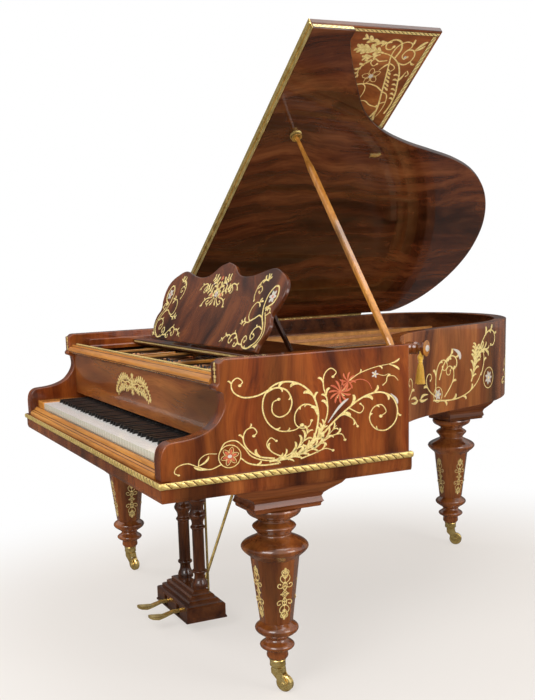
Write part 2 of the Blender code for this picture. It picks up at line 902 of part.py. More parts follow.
def leg_ring(radius, height, is_round, centre):
    """Sixteen points: on a circle, or on an octagon's corners and mid-sides."""
    x, y = centre
    points = []
    for k in range(16):
        angle = math.tau * (k + 1) / 16
        flat = radius / math.cos(math.pi / 8) if k % 2 == 0 else radius
        reach = radius if is_round else flat
        points.append((x + reach * math.cos(angle), y + reach * math.sin(angle), height))
    return points


BLOCK_PROFILE = [
    (-0.0025, -0.0015, 0.0000),
    (0.0000, 0.0000, 0.0030),
    (0.0000, 0.0000, 0.0080),
    (0.0050, 0.0060, 0.0140),
    (0.0030, 0.0035, 0.0200),
    (0.0005, 0.0015, 0.0280),
    (0.0040, 0.0060, 0.0370),
    (0.0125, 0.0180, 0.0460),
    (0.0130, 0.0260, 0.0485),
    (0.0170, 0.0550, 0.0600),
    (0.0205, 0.0720, 0.0740),
]


def make_leg(name, centre, half, shift, grow, block_top, frame):
    """A turned leg, and the moulded block that it screws into."""
    rings = [leg_ring(r, z, is_round, centre) for r, z, is_round in LEG_PROFILE]
    place(f"leg_{name}", lofted(rings), rosewood(), frame)
    x, y = centre[0], centre[1] + shift
    levels = [(dx, dy * grow, LEG_TOP + GAP + rise) for dx, dy, rise in BLOCK_PROFILE]
    levels.append((levels[-1][0], levels[-1][1], block_top))
    rings = []
    for dx, dy, z in levels:
        a, b = half[0] + dx, half[1] + dy
        rings.append([(x - a, y - b, z), (x + a, y - b, z), (x + a, y + b, z), (x - a, y + b, z)])
    place(f"leg_block_{name}", lofted(rings), rosewood(), frame)


def make_caster(name, centre, heading, frame):
    """Ferrule, swivelling fork and wheel; heading is the way that the wheel trails."""
    x, y = centre
    socket = STEM_R + RUNNING
    bore_top = FERRULE_TOP - 0.003
    ferrule = turned(
        [
            (socket, FERRULE_BOTTOM),
            (0.0210, FERRULE_BOTTOM),
            (0.0225, FERRULE_BOTTOM + 0.002),
            (0.0225, FERRULE_TOP - 0.004),
            (0.0235, FERRULE_TOP - 0.002),
            (0.0225, FERRULE_TOP),
            (0.0, FERRULE_TOP),
            (0.0, bore_top),
            (socket, bore_top),
            (socket, FERRULE_BOTTOM),
        ],
        16,
        centre,
    )
    place(f"ferrule_{name}", ferrule, brass(), frame)
    swivel = empty(f"swivel_{name}", (x, y, 0.0), frame, (0.0, 0.0, math.radians(heading)))
    gap = WHEEL_WIDTH / 2 + RUNNING
    side = gap + FORK_WALL
    trail = CASTER_TRAIL
    crown = WHEEL_R * 2 + 0.004
    top = FERRULE_BOTTOM - 0.003
    cheek = [
        (trail - 0.008, WHEEL_R - 0.006),
        (trail + 0.008, WHEEL_R - 0.006),
        (trail + 0.010, WHEEL_R + 0.004),
        (0.019, crown),
        (0.017, top - 0.002),
        (0.015, top),
        (-0.013, top),
        (-0.015, top - 0.002),
        (-0.014, crown),
        (trail - 0.012, WHEEL_R + 0.004),
    ]
    fork_obj = place(f"caster_fork_{name}", prism(cheek, "y", -side, side), brass(), swivel)
    room = box((trail - WHEEL_R - 0.010, -gap, -0.004), (trail + WHEEL_R + 0.010, gap, crown))
    boolean(fork_obj, cutter(f"fork_slot_{name}", room, swivel), "DIFFERENCE")
    collar = FERRULE_BOTTOM - RUNNING
    stem_top = bore_top - 0.002
    pin = turned(
        [
            (0.0, top - 0.004),
            (0.012, top - 0.004),
            (0.012, collar),
            (STEM_R, collar),
            (STEM_R, stem_top),
            (0.0, stem_top),
        ],
        12,
    )
    boolean(fork_obj, cutter(f"fork_stem_{name}", pin, swivel), "UNION")
    axle = empty(f"axle_{name}", (trail, 0.0, WHEEL_R), swivel)
    half = WHEEL_WIDTH / 2
    wheel = turned(
        [
            (0.0, -half),
            (0.008, -half),
            (0.010, -half + 0.002),
            (WHEEL_R - 0.003, -half + 0.001),
            (WHEEL_R, -half + 0.004),
            (WHEEL_R, half - 0.004),
            (WHEEL_R - 0.003, half - 0.001),
            (0.010, half - 0.002),
            (0.008, half),
            (0.0, half),
        ],
        20,
    )
    upright = Matrix.Rotation(math.pi / 2, 3, "X")
    bmesh.ops.rotate(wheel, verts=wheel.verts, cent=(0.0, 0.0, 0.0), matrix=upright)
    place(f"caster_wheel_{name}", wheel, brass(), axle)


# Lyre


def make_lyre(frame):
    post = [
        (0.0300, BED_BOTTOM - GAP),
        (0.0300, 0.5600),
        (0.0240, 0.5450),
        (0.0240, 0.5000),
        (0.0300, 0.4850),
        (0.0230, 0.4600),
        (0.0230, 0.4480),
        (0.0305, 0.4330),
        (0.0305, 0.4250),
        (0.0225, 0.4100),
        (0.0225, 0.3940),
        (0.0285, 0.3810),
        (0.0285, 0.3730),
        (0.0205, 0.3580),
        (0.0195, 0.3450),
        (0.0240, 0.3390),
        (0.0240, 0.3340),
        (POST_R, 0.3290),
        (POST_R, 0.1920),
        (0.0240, 0.1890),
        (0.0240, 0.1830),
        (0.0180, 0.1770),
        (0.0190, 0.1600),
        (0.0255, 0.1450),
        (0.0265, PLINTH_TOP + GAP),
    ]
    for name, x in (("lyre_post_bass", -POST_X), ("lyre_post_treble", POST_X)):
        rings = []
        for radius, height in post:
            shaft = radius == POST_R
            rings.append(leg_ring(radius, height, not shaft, (x, LYRE_Y)))
        place(name, lofted(rings), dark_wood(), frame)

    mid = (BOX_FRONT + BOX_REAR) / 2
    deep = (BOX_REAR - BOX_FRONT) / 2
    rise = (PLINTH_TOP - BOX_TOP) / PLINTH_STEPS
    levels = [(0.003, BOX_BOTTOM), (0.003, BOX_BOTTOM + 0.006), (0.0, BOX_BOTTOM + 0.0065)]
    levels += [(0.0, BOX_TOP - 0.004), (-0.004, BOX_TOP)]
    for step in range(PLINTH_STEPS):
        inset = PLINTH_INSET + PLINTH_STEP * step
        low = BOX_TOP + rise * step
        levels += [(-inset, low + 0.0005), (-inset, low + rise - 0.004), (-inset - 0.005, low + rise)]
    rings = []
    for grow, z in levels:
        x, y = BOX_HALF + grow, deep + grow
        rings.append([(-x, mid - y, z), (x, mid - y, z), (x, mid + y, z), (-x, mid + y, z)])
    body = place("pedal_box", lofted(rings), rosewood(), frame)
    inside = box(
        (-BOX_HALF + BOX_WALL, BOX_FRONT + BOX_WALL, BOX_BOTTOM - 0.01),
        (BOX_HALF - BOX_WALL, BOX_REAR - BOX_WALL, BOX_TOP - 0.004),
    )
    boolean(body, cutter("box_hollow", inside, frame), "DIFFERENCE")
    for name, x in (("bass", -PEDAL_X), ("treble", PEDAL_X)):
        slot = box(
            (x - 0.013, BOX_FRONT - 0.01, BOX_BOTTOM + 0.007),
            (x + 0.013, BOX_FRONT + BOX_WALL + 0.004, BOX_TOP - 0.010),
        )
        boolean(body, cutter(f"pedal_slot_{name}", slot, frame), "DIFFERENCE")
        bore = turned(
            [(0, BOX_TOP - 0.02), (ROD_R + 0.0015, BOX_TOP - 0.02)]
            + [(ROD_R + 0.0015, PLINTH_TOP + 0.02), (0, PLINTH_TOP + 0.02)],
            12,
            (x, ROD_Y),
        )
        boolean(body, cutter(f"rod_bore_{name}", bore, frame), "DIFFERENCE")
        make_pedal(f"pedal_{name}", x, frame)
        rod_low = PEDAL_PIVOT[1] + PEDAL_THICK / 2 + GAP
        shaft = turned(
            [(0, rod_low), (ROD_R, rod_low), (ROD_R, BED_BOTTOM - 0.012), (0, BED_BOTTOM - 0.012)],
            10,
            (x, ROD_Y),
        )
        place(f"pedal_rod_{name}", shaft, brass(), frame, (x, ROD_Y, rod_low))
    foot = BOX_REAR - PLINTH_INSET - PLINTH_STEP / 2
    rest = BOX_TOP + rise + GAP + BRACE_R * math.sin(math.atan(BRACE_SLOPE))
    head = BED_BOTTOM - GAP - BRACE_R * math.sin(math.atan(BRACE_SLOPE))
    brace = rod((0.0, foot, rest), (0.0, foot + (head - rest) * BRACE_SLOPE, head), BRACE_R)
    place("lyre_brace", brace, brass(), frame)


def make_pedal(name, x, frame):
    py, pz = PEDAL_PIVOT
    half = 0.0085
    toe = 0.019
    tip = PEDAL_TIP
    plan = [
        (x - half, ROD_Y + 0.008),
        (x - half, BOX_FRONT - 0.020),
        (x - half * 1.3, tip + 0.050),
        (x - toe, tip + 0.028),
        (x - toe * 0.9, tip + 0.008),
        (x - toe * 0.45, tip),
        (x + toe * 0.45, tip),
        (x + toe * 0.9, tip + 0.008),
        (x + toe, tip + 0.028),
        (x + half * 1.3, tip + 0.050),
        (x + half, BOX_FRONT - 0.020),
        (x + half, ROD_Y + 0.008),
    ]
    pedal = prism(plan, "z", pz - PEDAL_THICK / 2, pz + PEDAL_THICK / 2)
    for vert in pedal.verts:
        reach = max(0.0, (BOX_FRONT - 0.020 - vert.co.y) / (BOX_FRONT - 0.020 - tip))
        vert.co.z -= 0.012 * math.sin(min(reach, 1.0) * math.pi * 0.8) - 0.004 * reach
    place(name, pedal, brass(), frame, (x, py, pz))


# Inside


def inside_plan(inset, front):
    """Plan of the space inside the case from the given depth, drawn in from the walls."""
    side = INNER_X - inset
    line = rim_line(RIM_THICK + inset, -inset)
    curve = [(min(max(x, -side), side - 0.005), y) for x, y in line]
    return [(-side, front), (side, front), (side, CHEEK_REAR - inset)] + curve


def bar(start, end, width, low, high):
    """A straight beam between two plan points."""
    a, b = Vector((*start, 0)), Vector((*end, 0))
    along = (b - a).normalized()
    across = Vector((-along.y, along.x, 0)) * width / 2
    corners = [a + across, b + across, b - across, a - across]
    return prism([(c.x, c.y) for c in corners], "z", low, high)


def make_inside(frame):
    board_low = SOUNDBOARD_TOP - SOUNDBOARD_THICK
    spruce = material("soundboard", SPRUCE, 0.45)
    plan = inside_plan(GAP, BED_REAR + 0.045)
    board = place("soundboard", prism(plan, "z", board_low, SOUNDBOARD_TOP), spruce, frame)
    near = RIM_THICK + PLATE_WEB + 0.014
    first_y, last_x = BRIDGE_SPAN
    outer = [p for p in rim_line(near) if p[1] > first_y and p[0] > last_x]
    inner = [p for p in rim_line(near + BRIDGE_WIDTH) if p[1] > first_y and p[0] > last_x]
    bridge = prism(outer + inner[::-1], "z", board_low + 0.003, STRING_Z - 0.003)
    boolean(board, cutter("bridge_shape", bridge, frame), "UNION")

    beam_low = RIM_BOTTOM + 0.010
    beam_high = board_low - GAP
    rail_y = BED_REAR + 0.022
    edge = INNER_X - GAP
    rail = box((-edge, BED_REAR + GAP, beam_low), (edge, BED_REAR + 0.044, beam_high))
    rail_obj = place("back_frame", rail, dark_wood(), frame)
    ends = [(-0.869, 1.80), (-0.449, 1.86), (0.00, 1.78), (0.3895, 1.42), (0.749, 0.98)]
    for k, (share, depth) in enumerate(ends):
        start = ((-0.749 + 0.3596 * k) * INNER_X, rail_y)
        end = (share * INNER_X, depth)
        beam = bar(start, end, BEAM_WIDTH, beam_low + 0.004, beam_high - 0.004)
        boolean(rail_obj, cutter(f"beam_{k}", beam, frame), "UNION")
    reach = prism(inside_plan(GAP, BED_REAR + GAP), "z", beam_low - 0.01, beam_high + 0.01)
    boolean(rail_obj, cutter("back_frame_reach", reach, frame), "INTERSECT")

    plank_low = PLATE_TOP - PLATE_THICK - 0.040
    plank = box((-edge, PLATE_FRONT, plank_low), (edge, AGRAFFE_Y - 0.030, PLATE_TOP - PLATE_THICK - GAP))
    place("wrest_plank", plank, dark_wood(), frame)

    shoulder = KEY_TOP + 0.021
    section = [
        (PLATE_FRONT + 0.005, BED_TOP + 0.010),
        (BED_REAR - 0.020, BED_TOP + 0.010),
        (BED_REAR - 0.020, KEY_TOP - 0.004),
        (BED_REAR - 0.070, shoulder),
        (BED_REAR - 0.090, STRING_Z - 0.012),
        (BED_REAR - 0.120, STRING_Z - 0.012),
        (AGRAFFE_Y + 0.025, KEY_TOP + 0.066),
        (PLATE_FRONT + 0.015, shoulder),
    ]
    half = ACTION_WIDTH / 2
    place("action_frame", prism(section, "x", -half, half), dark_wood(), frame)

    bronze = material("iron_plate", BRONZE, 0.35, 0.7)
    plate_low = PLATE_TOP - PLATE_THICK
    plate = place(
        "iron_plate",
        prism(inside_plan(GAP, PLATE_FRONT), "z", plate_low, FLANGE_TOP),
        bronze,
        frame,
    )
    step = prism(inside_plan(0.052, PLATE_FRONT + 0.030), "z", PLATE_TOP, FLANGE_TOP + 0.01)
    boolean(plate, cutter("plate_step", step, frame), "DIFFERENCE")
    field = prism(inside_plan(PLATE_WEB, AGRAFFE_Y + 0.020), "z", plate_low - 0.01, FLANGE_TOP + 0.02)
    boolean(plate, cutter("plate_field", field, frame), "DIFFERENCE")
    lip = PLATE_FRONT + 0.015
    ribs = [
        (-0.5993, -0.7491, 1.71),
        (-0.1798, -0.3596, 1.728),
        (0.2547, 0.1079, 1.52),
        (0.6292, 0.5768, 0.885),
    ]
    for k, (near, far, depth) in enumerate(ribs):
        start = (near * INNER_X, lip)
        end = (far * INNER_X, depth)
        rib = bar(start, end, 0.016, STRING_Z + 0.0075, STRUT_TOP)
        boolean(plate, cutter(f"plate_rib_{k}", rib, frame), "UNION")


def wire_comb(starts, ends, rail_depth, low, high):
    """Wires of one thickness, joined at their front by a bar."""
    half = STRING_SIZE / 2
    front = min(y for _, y in starts)
    points = []
    for (x0, y0), (x1, y1) in zip(starts, ends):
        points += [(x0 - half, y0), (x1 - half, y1), (x1 + half, y1), (x0 + half, y0)]
    points += [(starts[-1][0] + half, front - rail_depth), (starts[0][0] - half, front - rail_depth)]
    return prism(points, "z", low, high)


def add_string_bar(name, wires, frame):
    """The bar under the near ends of the wires, standing on the iron plate."""
    xs = [vert.co.x for vert in wires.data.vertices if vert.co.y < AGRAFFE_Y]
    tops = [vert.co.z for vert in wires.data.vertices]
    shape = box(
        (min(xs) - 0.004, AGRAFFE_Y - 0.014, PLATE_TOP + GAP),
        (max(xs) + 0.004, AGRAFFE_Y - 0.002, max(tops) - STRING_SIZE / 4),
    )
    boolean(wires, cutter(name, shape, frame), "UNION")


def make_strings(frame):
    steel = material("strings", STEEL, 0.3, 1.0)
    copper = material("bass_strings", (0.62, 0.33, 0.17), 0.35, 1.0)
    starts, ends = [], []
    first, last = (share * INNER_X for share in SCALE_SPAN)
    count = TREBLE_COUNT
    line = [(last, CHEEK_REAR - 0.08)] + rim_line(RIM_THICK + PLATE_WEB + 0.006, 0.0)[4:]
    for k in range(count):
        x = first + (last - first) * k / (count - 1)
        far = x - TREBLE_FAN * INNER_X * (1 - k / (count - 1))
        reach = next(
            y0 + (y1 - y0) * (x0 - far) / (x0 - x1)
            for (x0, y0), (x1, y1) in zip(line, line[1:])
            if x1 <= far <= x0
        )
        starts.append((x, AGRAFFE_Y))
        ends.append((far, reach))
    low = STRING_Z - STRING_SIZE / 2
    body = wire_comb(starts, ends, 0.010, low, low + STRING_SIZE)
    add_string_bar("treble_bar", place("strings_treble", body, steel, frame), frame)
    starts = [((-0.8390 + 0.02996 * k) * INNER_X, AGRAFFE_Y) for k in range(BASS_COUNT)]
    ends = [((-0.7491 + 0.03296 * k) * INNER_X, SPINE_REAR - 0.020 - 0.006 * k) for k in range(BASS_COUNT)]
    low += 0.006
    body = wire_comb(starts, ends, 0.010, low, low + STRING_SIZE)
    add_string_bar("bass_bar", place("strings_bass", body, copper, frame), frame)


def make_peg(frame):
    """The turned peg behind the cheek's corner, with its hanging tassel."""
    turn = math.radians(PEG_TURN)
    joint = empty("peg_axis", PEG_NOSE, frame, (0.0, math.pi / 2, turn))
    profile = [
        (0.0, -PEG_REACH),
        (PEG_SHANK_R, -PEG_REACH),
        (PEG_SHANK_R, -0.062),
        (0.0165, -0.060),
        (0.0180, -0.050),
        (0.0165, -0.040),
        (0.0185, -0.034),
        (0.0160, -0.026),
        (0.0080, -0.0225),
        (0.0080, -0.0150),
        (0.0190, -0.0110),
        (0.0230, -0.0070),
        (0.0230, -0.0020),
        (0.0200, 0.0),
        (0.0, 0.0),
    ]
    place("lid_peg", turned(profile, 18), dark_wood(), joint)
    hole_r = PEG_SHANK_R + GAP
    hole = turned([(0, -PEG_HOLE), (hole_r, -PEG_HOLE), (hole_r, -0.062), (0, -0.062)], 18)
    rim = bpy.data.objects["bentside_rim"]
    boolean(rim, cutter("peg_hole", hole, joint), "DIFFERENCE")
    hang = empty("tassel_axis", (0.0, 0.0, -TASSEL_BACK), joint, (0.0, -math.pi / 2, 0.0))
    top = -0.0080 - GAP
    tassel = turned(
        [
            (0.0, top),
            (0.0022, top),
            (0.0026, top - 0.008),
            (0.0062, top - 0.012),
            (0.0085, top - 0.020),
            (0.0062, top - 0.028),
            (0.0085, top - 0.034),
            (0.0125, top - 0.060),
            (0.0160, top - TASSEL_LENGTH),
            (0.0, top - TASSEL_LENGTH),
        ],
        14,
    )
    silk = material("tassel", SILK, 0.7)
    place("tassel", tassel, silk, hang)


def main():
    for old in list(bpy.data.objects):
        bpy.data.objects.remove(old, do_unlink=True)
    rear = max(y for _, y in lid_plan())
    across = SIDE_X + MOULD_PROUD + lid_left_edge()
    frame = empty("piano_frame", (-across / 2, -rear / 2, 0.0))
    make_case(frame)
    make_base(frame)
    make_keys(frame)
    make_fallboard(frame)
    make_desk(frame)
    under = make_lid(frame)
    make_prop(frame, under)
    bed = BED_BOTTOM - GAP
    rim = RIM_BOTTOM - GAP
    make_leg("bass", (-LEG_X, LEG_Y), BLOCK_HALF, BLOCK_SHIFT, 1.0, bed, frame)
    make_leg("treble", (LEG_X, LEG_Y), BLOCK_HALF, BLOCK_SHIFT, 1.0, bed, frame)
    make_leg("rear", REAR_LEG, REAR_HALF, REAR_SHIFT, 0.6, rim, frame)
    make_caster("bass", (-LEG_X, LEG_Y), 20.0, frame)
    make_caster("treble", (LEG_X, LEG_Y), 35.0, frame)
    make_caster("rear", REAR_LEG, 50.0, frame)
    make_lyre(frame)
    make_inside(frame)
    make_strings(frame)
    make_peg(frame)


main()
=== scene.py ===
"""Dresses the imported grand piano: finishes, inlay, gilding, pins, dampers and tassel.

Sizes are metres. Detail is laid out in the case's own coordinates, which start at
the front of the base moulding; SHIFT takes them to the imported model's.
"""

import math
import random

import bmesh
import bpy
from mathutils import Matrix, Vector


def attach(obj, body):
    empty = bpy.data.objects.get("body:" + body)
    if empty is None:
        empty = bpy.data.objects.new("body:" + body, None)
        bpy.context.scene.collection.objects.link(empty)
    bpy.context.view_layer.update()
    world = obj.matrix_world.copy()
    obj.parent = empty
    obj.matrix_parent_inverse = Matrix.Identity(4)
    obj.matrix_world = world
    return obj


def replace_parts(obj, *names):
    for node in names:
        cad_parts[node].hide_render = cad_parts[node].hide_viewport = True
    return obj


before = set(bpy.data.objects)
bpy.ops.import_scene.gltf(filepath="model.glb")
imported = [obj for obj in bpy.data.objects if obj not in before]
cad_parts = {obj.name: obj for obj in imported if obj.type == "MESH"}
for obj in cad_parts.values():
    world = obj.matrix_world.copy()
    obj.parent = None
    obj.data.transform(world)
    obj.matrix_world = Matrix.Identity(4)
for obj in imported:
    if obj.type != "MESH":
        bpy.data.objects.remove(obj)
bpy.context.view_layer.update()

FRAME_WIDTH, FRAME_HEIGHT = 535, 700
FOCAL_PIXELS = 949.605
IMAGE_CENTRE = (200.707, 448.837)
SENSOR = 36.0
X, Y, Z = Vector((1, 0, 0)), Vector((0, 1, 0)), Vector((0, 0, 1))
SHIFT = Vector((0.003574, -0.907748, 0.0))
SIDE_X = 0.7155
INNER_X = 0.6675
RIM_FOOT = 0.665
RIM_TOP = 0.946
RIM_THICK = 0.042
SPINE_REAR = 1.5804
LININGS_LOW = 0.884
MOULD_X = 0.7245
MOULD_TOP = 0.6535
ROPE_HEIGHT = 0.0165
CHEEK_REAR = 0.738
AGRAFFE_Y = 0.470
RIB_TOP = 0.892
PIN_FOOT = 0.858
KEYSLIP_TOP = 0.683
FIT = 0.0004
LID_TURN = Matrix.Rotation(-math.radians(36.3), 4, "Y")
LID_AXIS = Vector((-0.7165, 0.0, 0.950))
LID_UNDER = -0.0025
LID_THICK = 0.018
LID_UPPER = LID_UNDER + LID_THICK
LID_OVER = 0.0125
FOLD_Y = 0.60975
FLAP_LEFT = 0.0066
FLAP_NEAR = 0.0030
FLAP_RIGHT = SIDE_X + LID_OVER + 0.7165
FLAP_FAR = FLAP_NEAR + 0.440
FLAP_UNDER = LID_UPPER + 0.0008
DESK_AXIS = Vector((0.0, 0.420, 0.9258))
DESK_TURN = Matrix.Rotation(-math.radians(27.0), 4, "X")
DESK_THICK = 0.014
FALL_FACE = 0.190
LIP_TOP = 0.9075
FLAT_LOW, FLAT_HIGH = (0.0425, 0.2070), (0.0620, 0.3880)
LEG_CENTRES = {"bass": (-0.631, 0.358), "treble": (0.631, 0.358), "rear": (-0.267, 1.640)}
POST_Y = 0.367
RIM_CURVE = [
    (0.688, 0.7384), (0.640, 0.765), (0.535, 0.836), (0.425, 0.922), (0.345, 1.030), (0.292, 1.150),
    (0.252, 1.280), (0.214, 1.400), (0.160, 1.510), (0.078, 1.612), (-0.030, 1.698), (-0.160, 1.764),
    (-0.310, 1.800), (-0.455, 1.796), (-0.590, 1.752), (-0.682, 1.674), (-SIDE_X, SPINE_REAR),
]
RIM_STEPS = 8

random.seed(7)


# Camera


def make_camera():
    """The camera that was solved from the case, the keys and the legs."""
    yaw, pitch, roll = (math.radians(angle) for angle in (-67.256, -10.653, -2.374))
    forward = Vector((math.sin(yaw) * math.cos(pitch), math.cos(yaw) * math.cos(pitch), math.sin(pitch)))
    level = Vector((math.cos(yaw), -math.sin(yaw), 0.0))
    rise = level.cross(forward)
    right = math.cos(roll) * level + math.sin(roll) * rise
    up = math.cos(roll) * rise - math.sin(roll) * level
    data = bpy.data.cameras.new("camera")
    camera = bpy.data.objects.new("camera", data)
    bpy.context.scene.collection.objects.link(camera)
    place = Matrix((right, up, -forward)).transposed().to_4x4()
    place.translation = Vector((2.858, -0.782, 1.165)) + SHIFT
    camera.matrix_world = place
    data.sensor_fit = "VERTICAL"
    data.sensor_height = SENSOR
    data.lens = FOCAL_PIXELS / FRAME_HEIGHT * SENSOR
    data.shift_x = (FRAME_WIDTH / 2 - IMAGE_CENTRE[0]) / FRAME_HEIGHT
    data.shift_y = (IMAGE_CENTRE[1] - FRAME_HEIGHT / 2) / FRAME_HEIGHT
    bpy.context.scene.camera = camera


# Materials


def add(tree, kind, values=None, **settings):
    """Adds a shader node, sets its options, and links or sets its inputs."""
    node = tree.nodes.new("ShaderNode" + kind)
    for key, value in settings.items():
        setattr(node, key, value)
    for key, value in (values or {}).items():
        if isinstance(value, bpy.types.NodeSocket):
            tree.links.new(value, node.inputs[key])
        else:
            node.inputs[key].default_value = value
    return node


def new_material(name):
    """A material, its node tree, its shader, and the place on its object."""
    made = bpy.data.materials.new(name)
    made.use_nodes = True
    tree = made.node_tree
    return made, tree, tree.nodes["Principled BSDF"], add(tree, "TexCoord").outputs["Object"]


def ramp(tree, factor, stops):
    node = add(tree, "ValToRGB", {"Fac": factor})
    band = node.color_ramp
    while len(band.elements) < len(stops):
        band.elements.new(0.5)
    for element, (place, colour) in zip(band.elements, stops):
        element.position = place
        element.color = (*colour, 1.0)
    return node.outputs["Color"]


def mix(tree, factor, first, second, blend="MIX"):
    """Two colours together; each is a socket or three numbers."""
    first, second = (v if isinstance(v, bpy.types.NodeSocket) else (*v, 1.0) for v in (first, second))
    values = {0: factor, 6: first, 7: second}
    return add(tree, "Mix", values, data_type="RGBA", blend_type=blend).outputs[2]


def noise(tree, where, scale, detail, **more):
    values = {"Vector": where, "Scale": scale, "Detail": detail, **more}
    return add(tree, "TexNoise", values).outputs["Fac"]


def spread(tree, value, low, high, start=0.0, end=1.0, **settings):
    """Maps a value that runs from start to end onto low to high."""
    limits = {"From Min": start, "From Max": end, "To Min": low, "To Max": high}
    return add(tree, "MapRange", {"Value": value, **limits}, **settings).outputs[0]


def maths(tree, operation, first, second=0.0):
    return add(tree, "Math", {0: first, 1: second}, operation=operation).outputs[0]


def dress(tree, shader, colour, rough, height, dent, depth=0.0005, **plain):
    """Links colour, roughness and dents to a shader, and sets its plain inputs."""
    dents = add(tree, "Bump", {"Height": height, "Strength": dent, "Distance": depth}).outputs[0]
    for name, socket in (("Base Color", colour), ("Roughness", rough), ("Normal", dents)):
        tree.links.new(socket, shader.inputs[name])
    for name, value in plain.items():
        shader.inputs[name.replace("_", " ")].default_value = value


def grey(value):
    return (value, value, value)


def wood(name, dark, mid, light, grain, warp=0.10, streak=16.0, bands=4.5, rough=0.2, seed=0.0, coat=0.5):
    """Polished veneer: long streaks along the grain, darker bands and fine pores."""
    made, tree, shader, here = new_material(name)
    moved = add(tree, "Mapping", {"Vector": here, "Location": (seed, seed * 1.7, seed * 0.6)}).outputs[0]
    coarse = add(tree, "TexNoise", {"Vector": moved, "Scale": 2.1, "Detail": 2.0}).outputs["Color"]
    bent = add(tree, "VectorMath", {0: coarse, 1: grey(warp), 2: moved}, operation="MULTIPLY_ADD").outputs[0]

    def stretched(across, along):
        scale = [across] * 3
        scale["xyz".index(grain)] = along
        return add(tree, "Mapping", {"Vector": bent, "Scale": scale}).outputs[0]

    lines = noise(tree, stretched(streak, 1.3), 1.0, 7.0, Roughness=0.62)
    broad = noise(tree, stretched(bands, 0.7), 1.0, 3.0, Roughness=0.5, Distortion=0.6)
    fine = noise(tree, stretched(160.0, 9.0), 1.0, 3.0, Roughness=0.7)
    colour = ramp(tree, lines, [(0.30, dark), (0.47, mid), (0.68, light)])
    shade = ramp(tree, broad, [(0.34, grey(0.30)), (0.50, grey(0.85)), (0.66, grey(1.15))])
    pores = ramp(tree, fine, [(0.36, grey(0.72)), (0.52, grey(1.0))])
    colour = mix(tree, 0.8, mix(tree, 1.0, colour, shade, "MULTIPLY"), pores, "MULTIPLY")
    dress(tree, shader, colour, spread(tree, fine, rough * 1.5, rough * 0.7), fine, 0.05, 0.0004,
          Specular_IOR_Level=0.25, Coat_Weight=coat, Coat_Roughness=0.03, Coat_IOR=1.5)
    return made


def metal(name, deep, bright, rough=0.25, metallic=1.0, scale=60.0, bump=0.1):
    """Metal with uneven tarnish and small dents."""
    made, tree, shader, here = new_material(name)
    patch = noise(tree, here, scale, 5.0, Roughness=0.6)
    colour = ramp(tree, patch, [(0.32, deep), (0.62, bright)])
    worn = spread(tree, patch, rough * 1.5, rough * 0.6)
    dress(tree, shader, colour, worn, noise(tree, here, scale * 9, 2.0), bump, Metallic=metallic)
    return made


def pearl_material():
    """Mother-of-pearl: patches that drift between cream, pink and green."""
    made, tree, shader, here = new_material("pearl")
    drift = noise(tree, here, 120.0, 3.0, Distortion=1.5)
    tones = [(0.30, (0.36, 0.46, 0.36)), (0.45, (0.68, 0.65, 0.54)), (0.56, (0.66, 0.52, 0.48)),
             (0.70, (0.46, 0.56, 0.49))]
    dress(tree, shader, ramp(tree, drift, tones), spread(tree, drift, 0.25, 0.10), drift, 0.1,
          Coat_Weight=0.7, Coat_Roughness=0.06)
    return made


def gloss(name, low, high, rough, scale=20.0, coat=0.6, bump=0.03):
    """A smooth surface with faint cloudy tone and hairline wear."""
    made, tree, shader, here = new_material(name)
    colour = ramp(tree, noise(tree, here, scale, 4.0), [(0.3, low), (0.7, high)])
    fine = noise(tree, here, 700.0, 2.0)
    dress(tree, shader, colour, spread(tree, fine, rough * 0.7, rough * 1.4), fine, bump, 0.0004,
          Coat_Weight=coat, Coat_Roughness=0.05)
    return made


def fibre(name, low, high, scale=900.0):
    """Felt or yarn: matt, with a fine nap."""
    made, tree, shader, here = new_material(name)
    nap = noise(tree, here, scale, 3.0, Roughness=0.7)
    colour = ramp(tree, nap, [(0.3, low), (0.7, high)])
    dress(tree, shader, colour, spread(tree, nap, 0.55, 0.85), nap, 0.4, 0.0006, Sheen_Weight=0.5)
    return made


def repaint(finish, share, tone):
    """Lays a tone over a finish's colour, by the given share."""
    tree = finish.node_tree
    shown = tree.nodes["Principled BSDF"].inputs["Base Color"]
    tree.links.new(mix(tree, share, shown.links[0].from_socket, tone), shown)


def paint_plate_shade(finish, tone):
    """Painted shade on the plate, low between its ribs at the end near the player."""
    tree = finish.node_tree
    place = add(tree, "SeparateXYZ", {"Vector": add(tree, "TexCoord").outputs["Object"]}).outputs
    end = AGRAFFE_Y + SHIFT.y
    near = spread(tree, place["Y"], 0.0, 1.0, end - 0.01, end - 0.02)
    low = spread(tree, place["Z"], 0.0, 1.0, RIB_TOP - 0.004, RIB_TOP - 0.007)
    repaint(finish, maths(tree, "MULTIPLY", near, low), tone)


def paint_edge_shade(finish, square, share):
    """Darker wood on a board's edge faces, a painted shade set by which way each face turns; square is the face's own
    direction.
    """
    tree = finish.node_tree
    facing = add(tree, "TexCoord").outputs["Normal"]
    along = add(tree, "VectorMath", {0: facing, 1: square}, operation="DOT_PRODUCT").outputs["Value"]
    # The near-black tone is the painted shade on the edge faces.
    repaint(finish, spread(tree, maths(tree, "ABSOLUTE", along), 0.0, share, 0.9, 0.5), (0.012, 0.004, 0.002))


def key_gloss(name, low, high, front):
    """Ivory key tops whose fronts are painted darker and yellower, a painted shade on the faces turned to the player.
    """
    made = gloss(name, low, high, 0.22)
    tree = made.node_tree
    way = add(tree, "SeparateXYZ", {"Vector": add(tree, "TexCoord").outputs["Normal"]}).outputs["Y"]
    # Faces that look to the front get the painted shade tone.
    repaint(made, spread(tree, way, 0.0, 1.0, -0.3, -0.8), front)
    return made


ROSE = ((0.052, 0.010, 0.004), (0.215, 0.043, 0.007), (0.370, 0.098, 0.016))
DEEP = ((0.020, 0.006, 0.003), (0.080, 0.022, 0.006), (0.170, 0.052, 0.015))
AMBER = ((0.250, 0.080, 0.012), (0.500, 0.185, 0.028), (0.660, 0.290, 0.055))

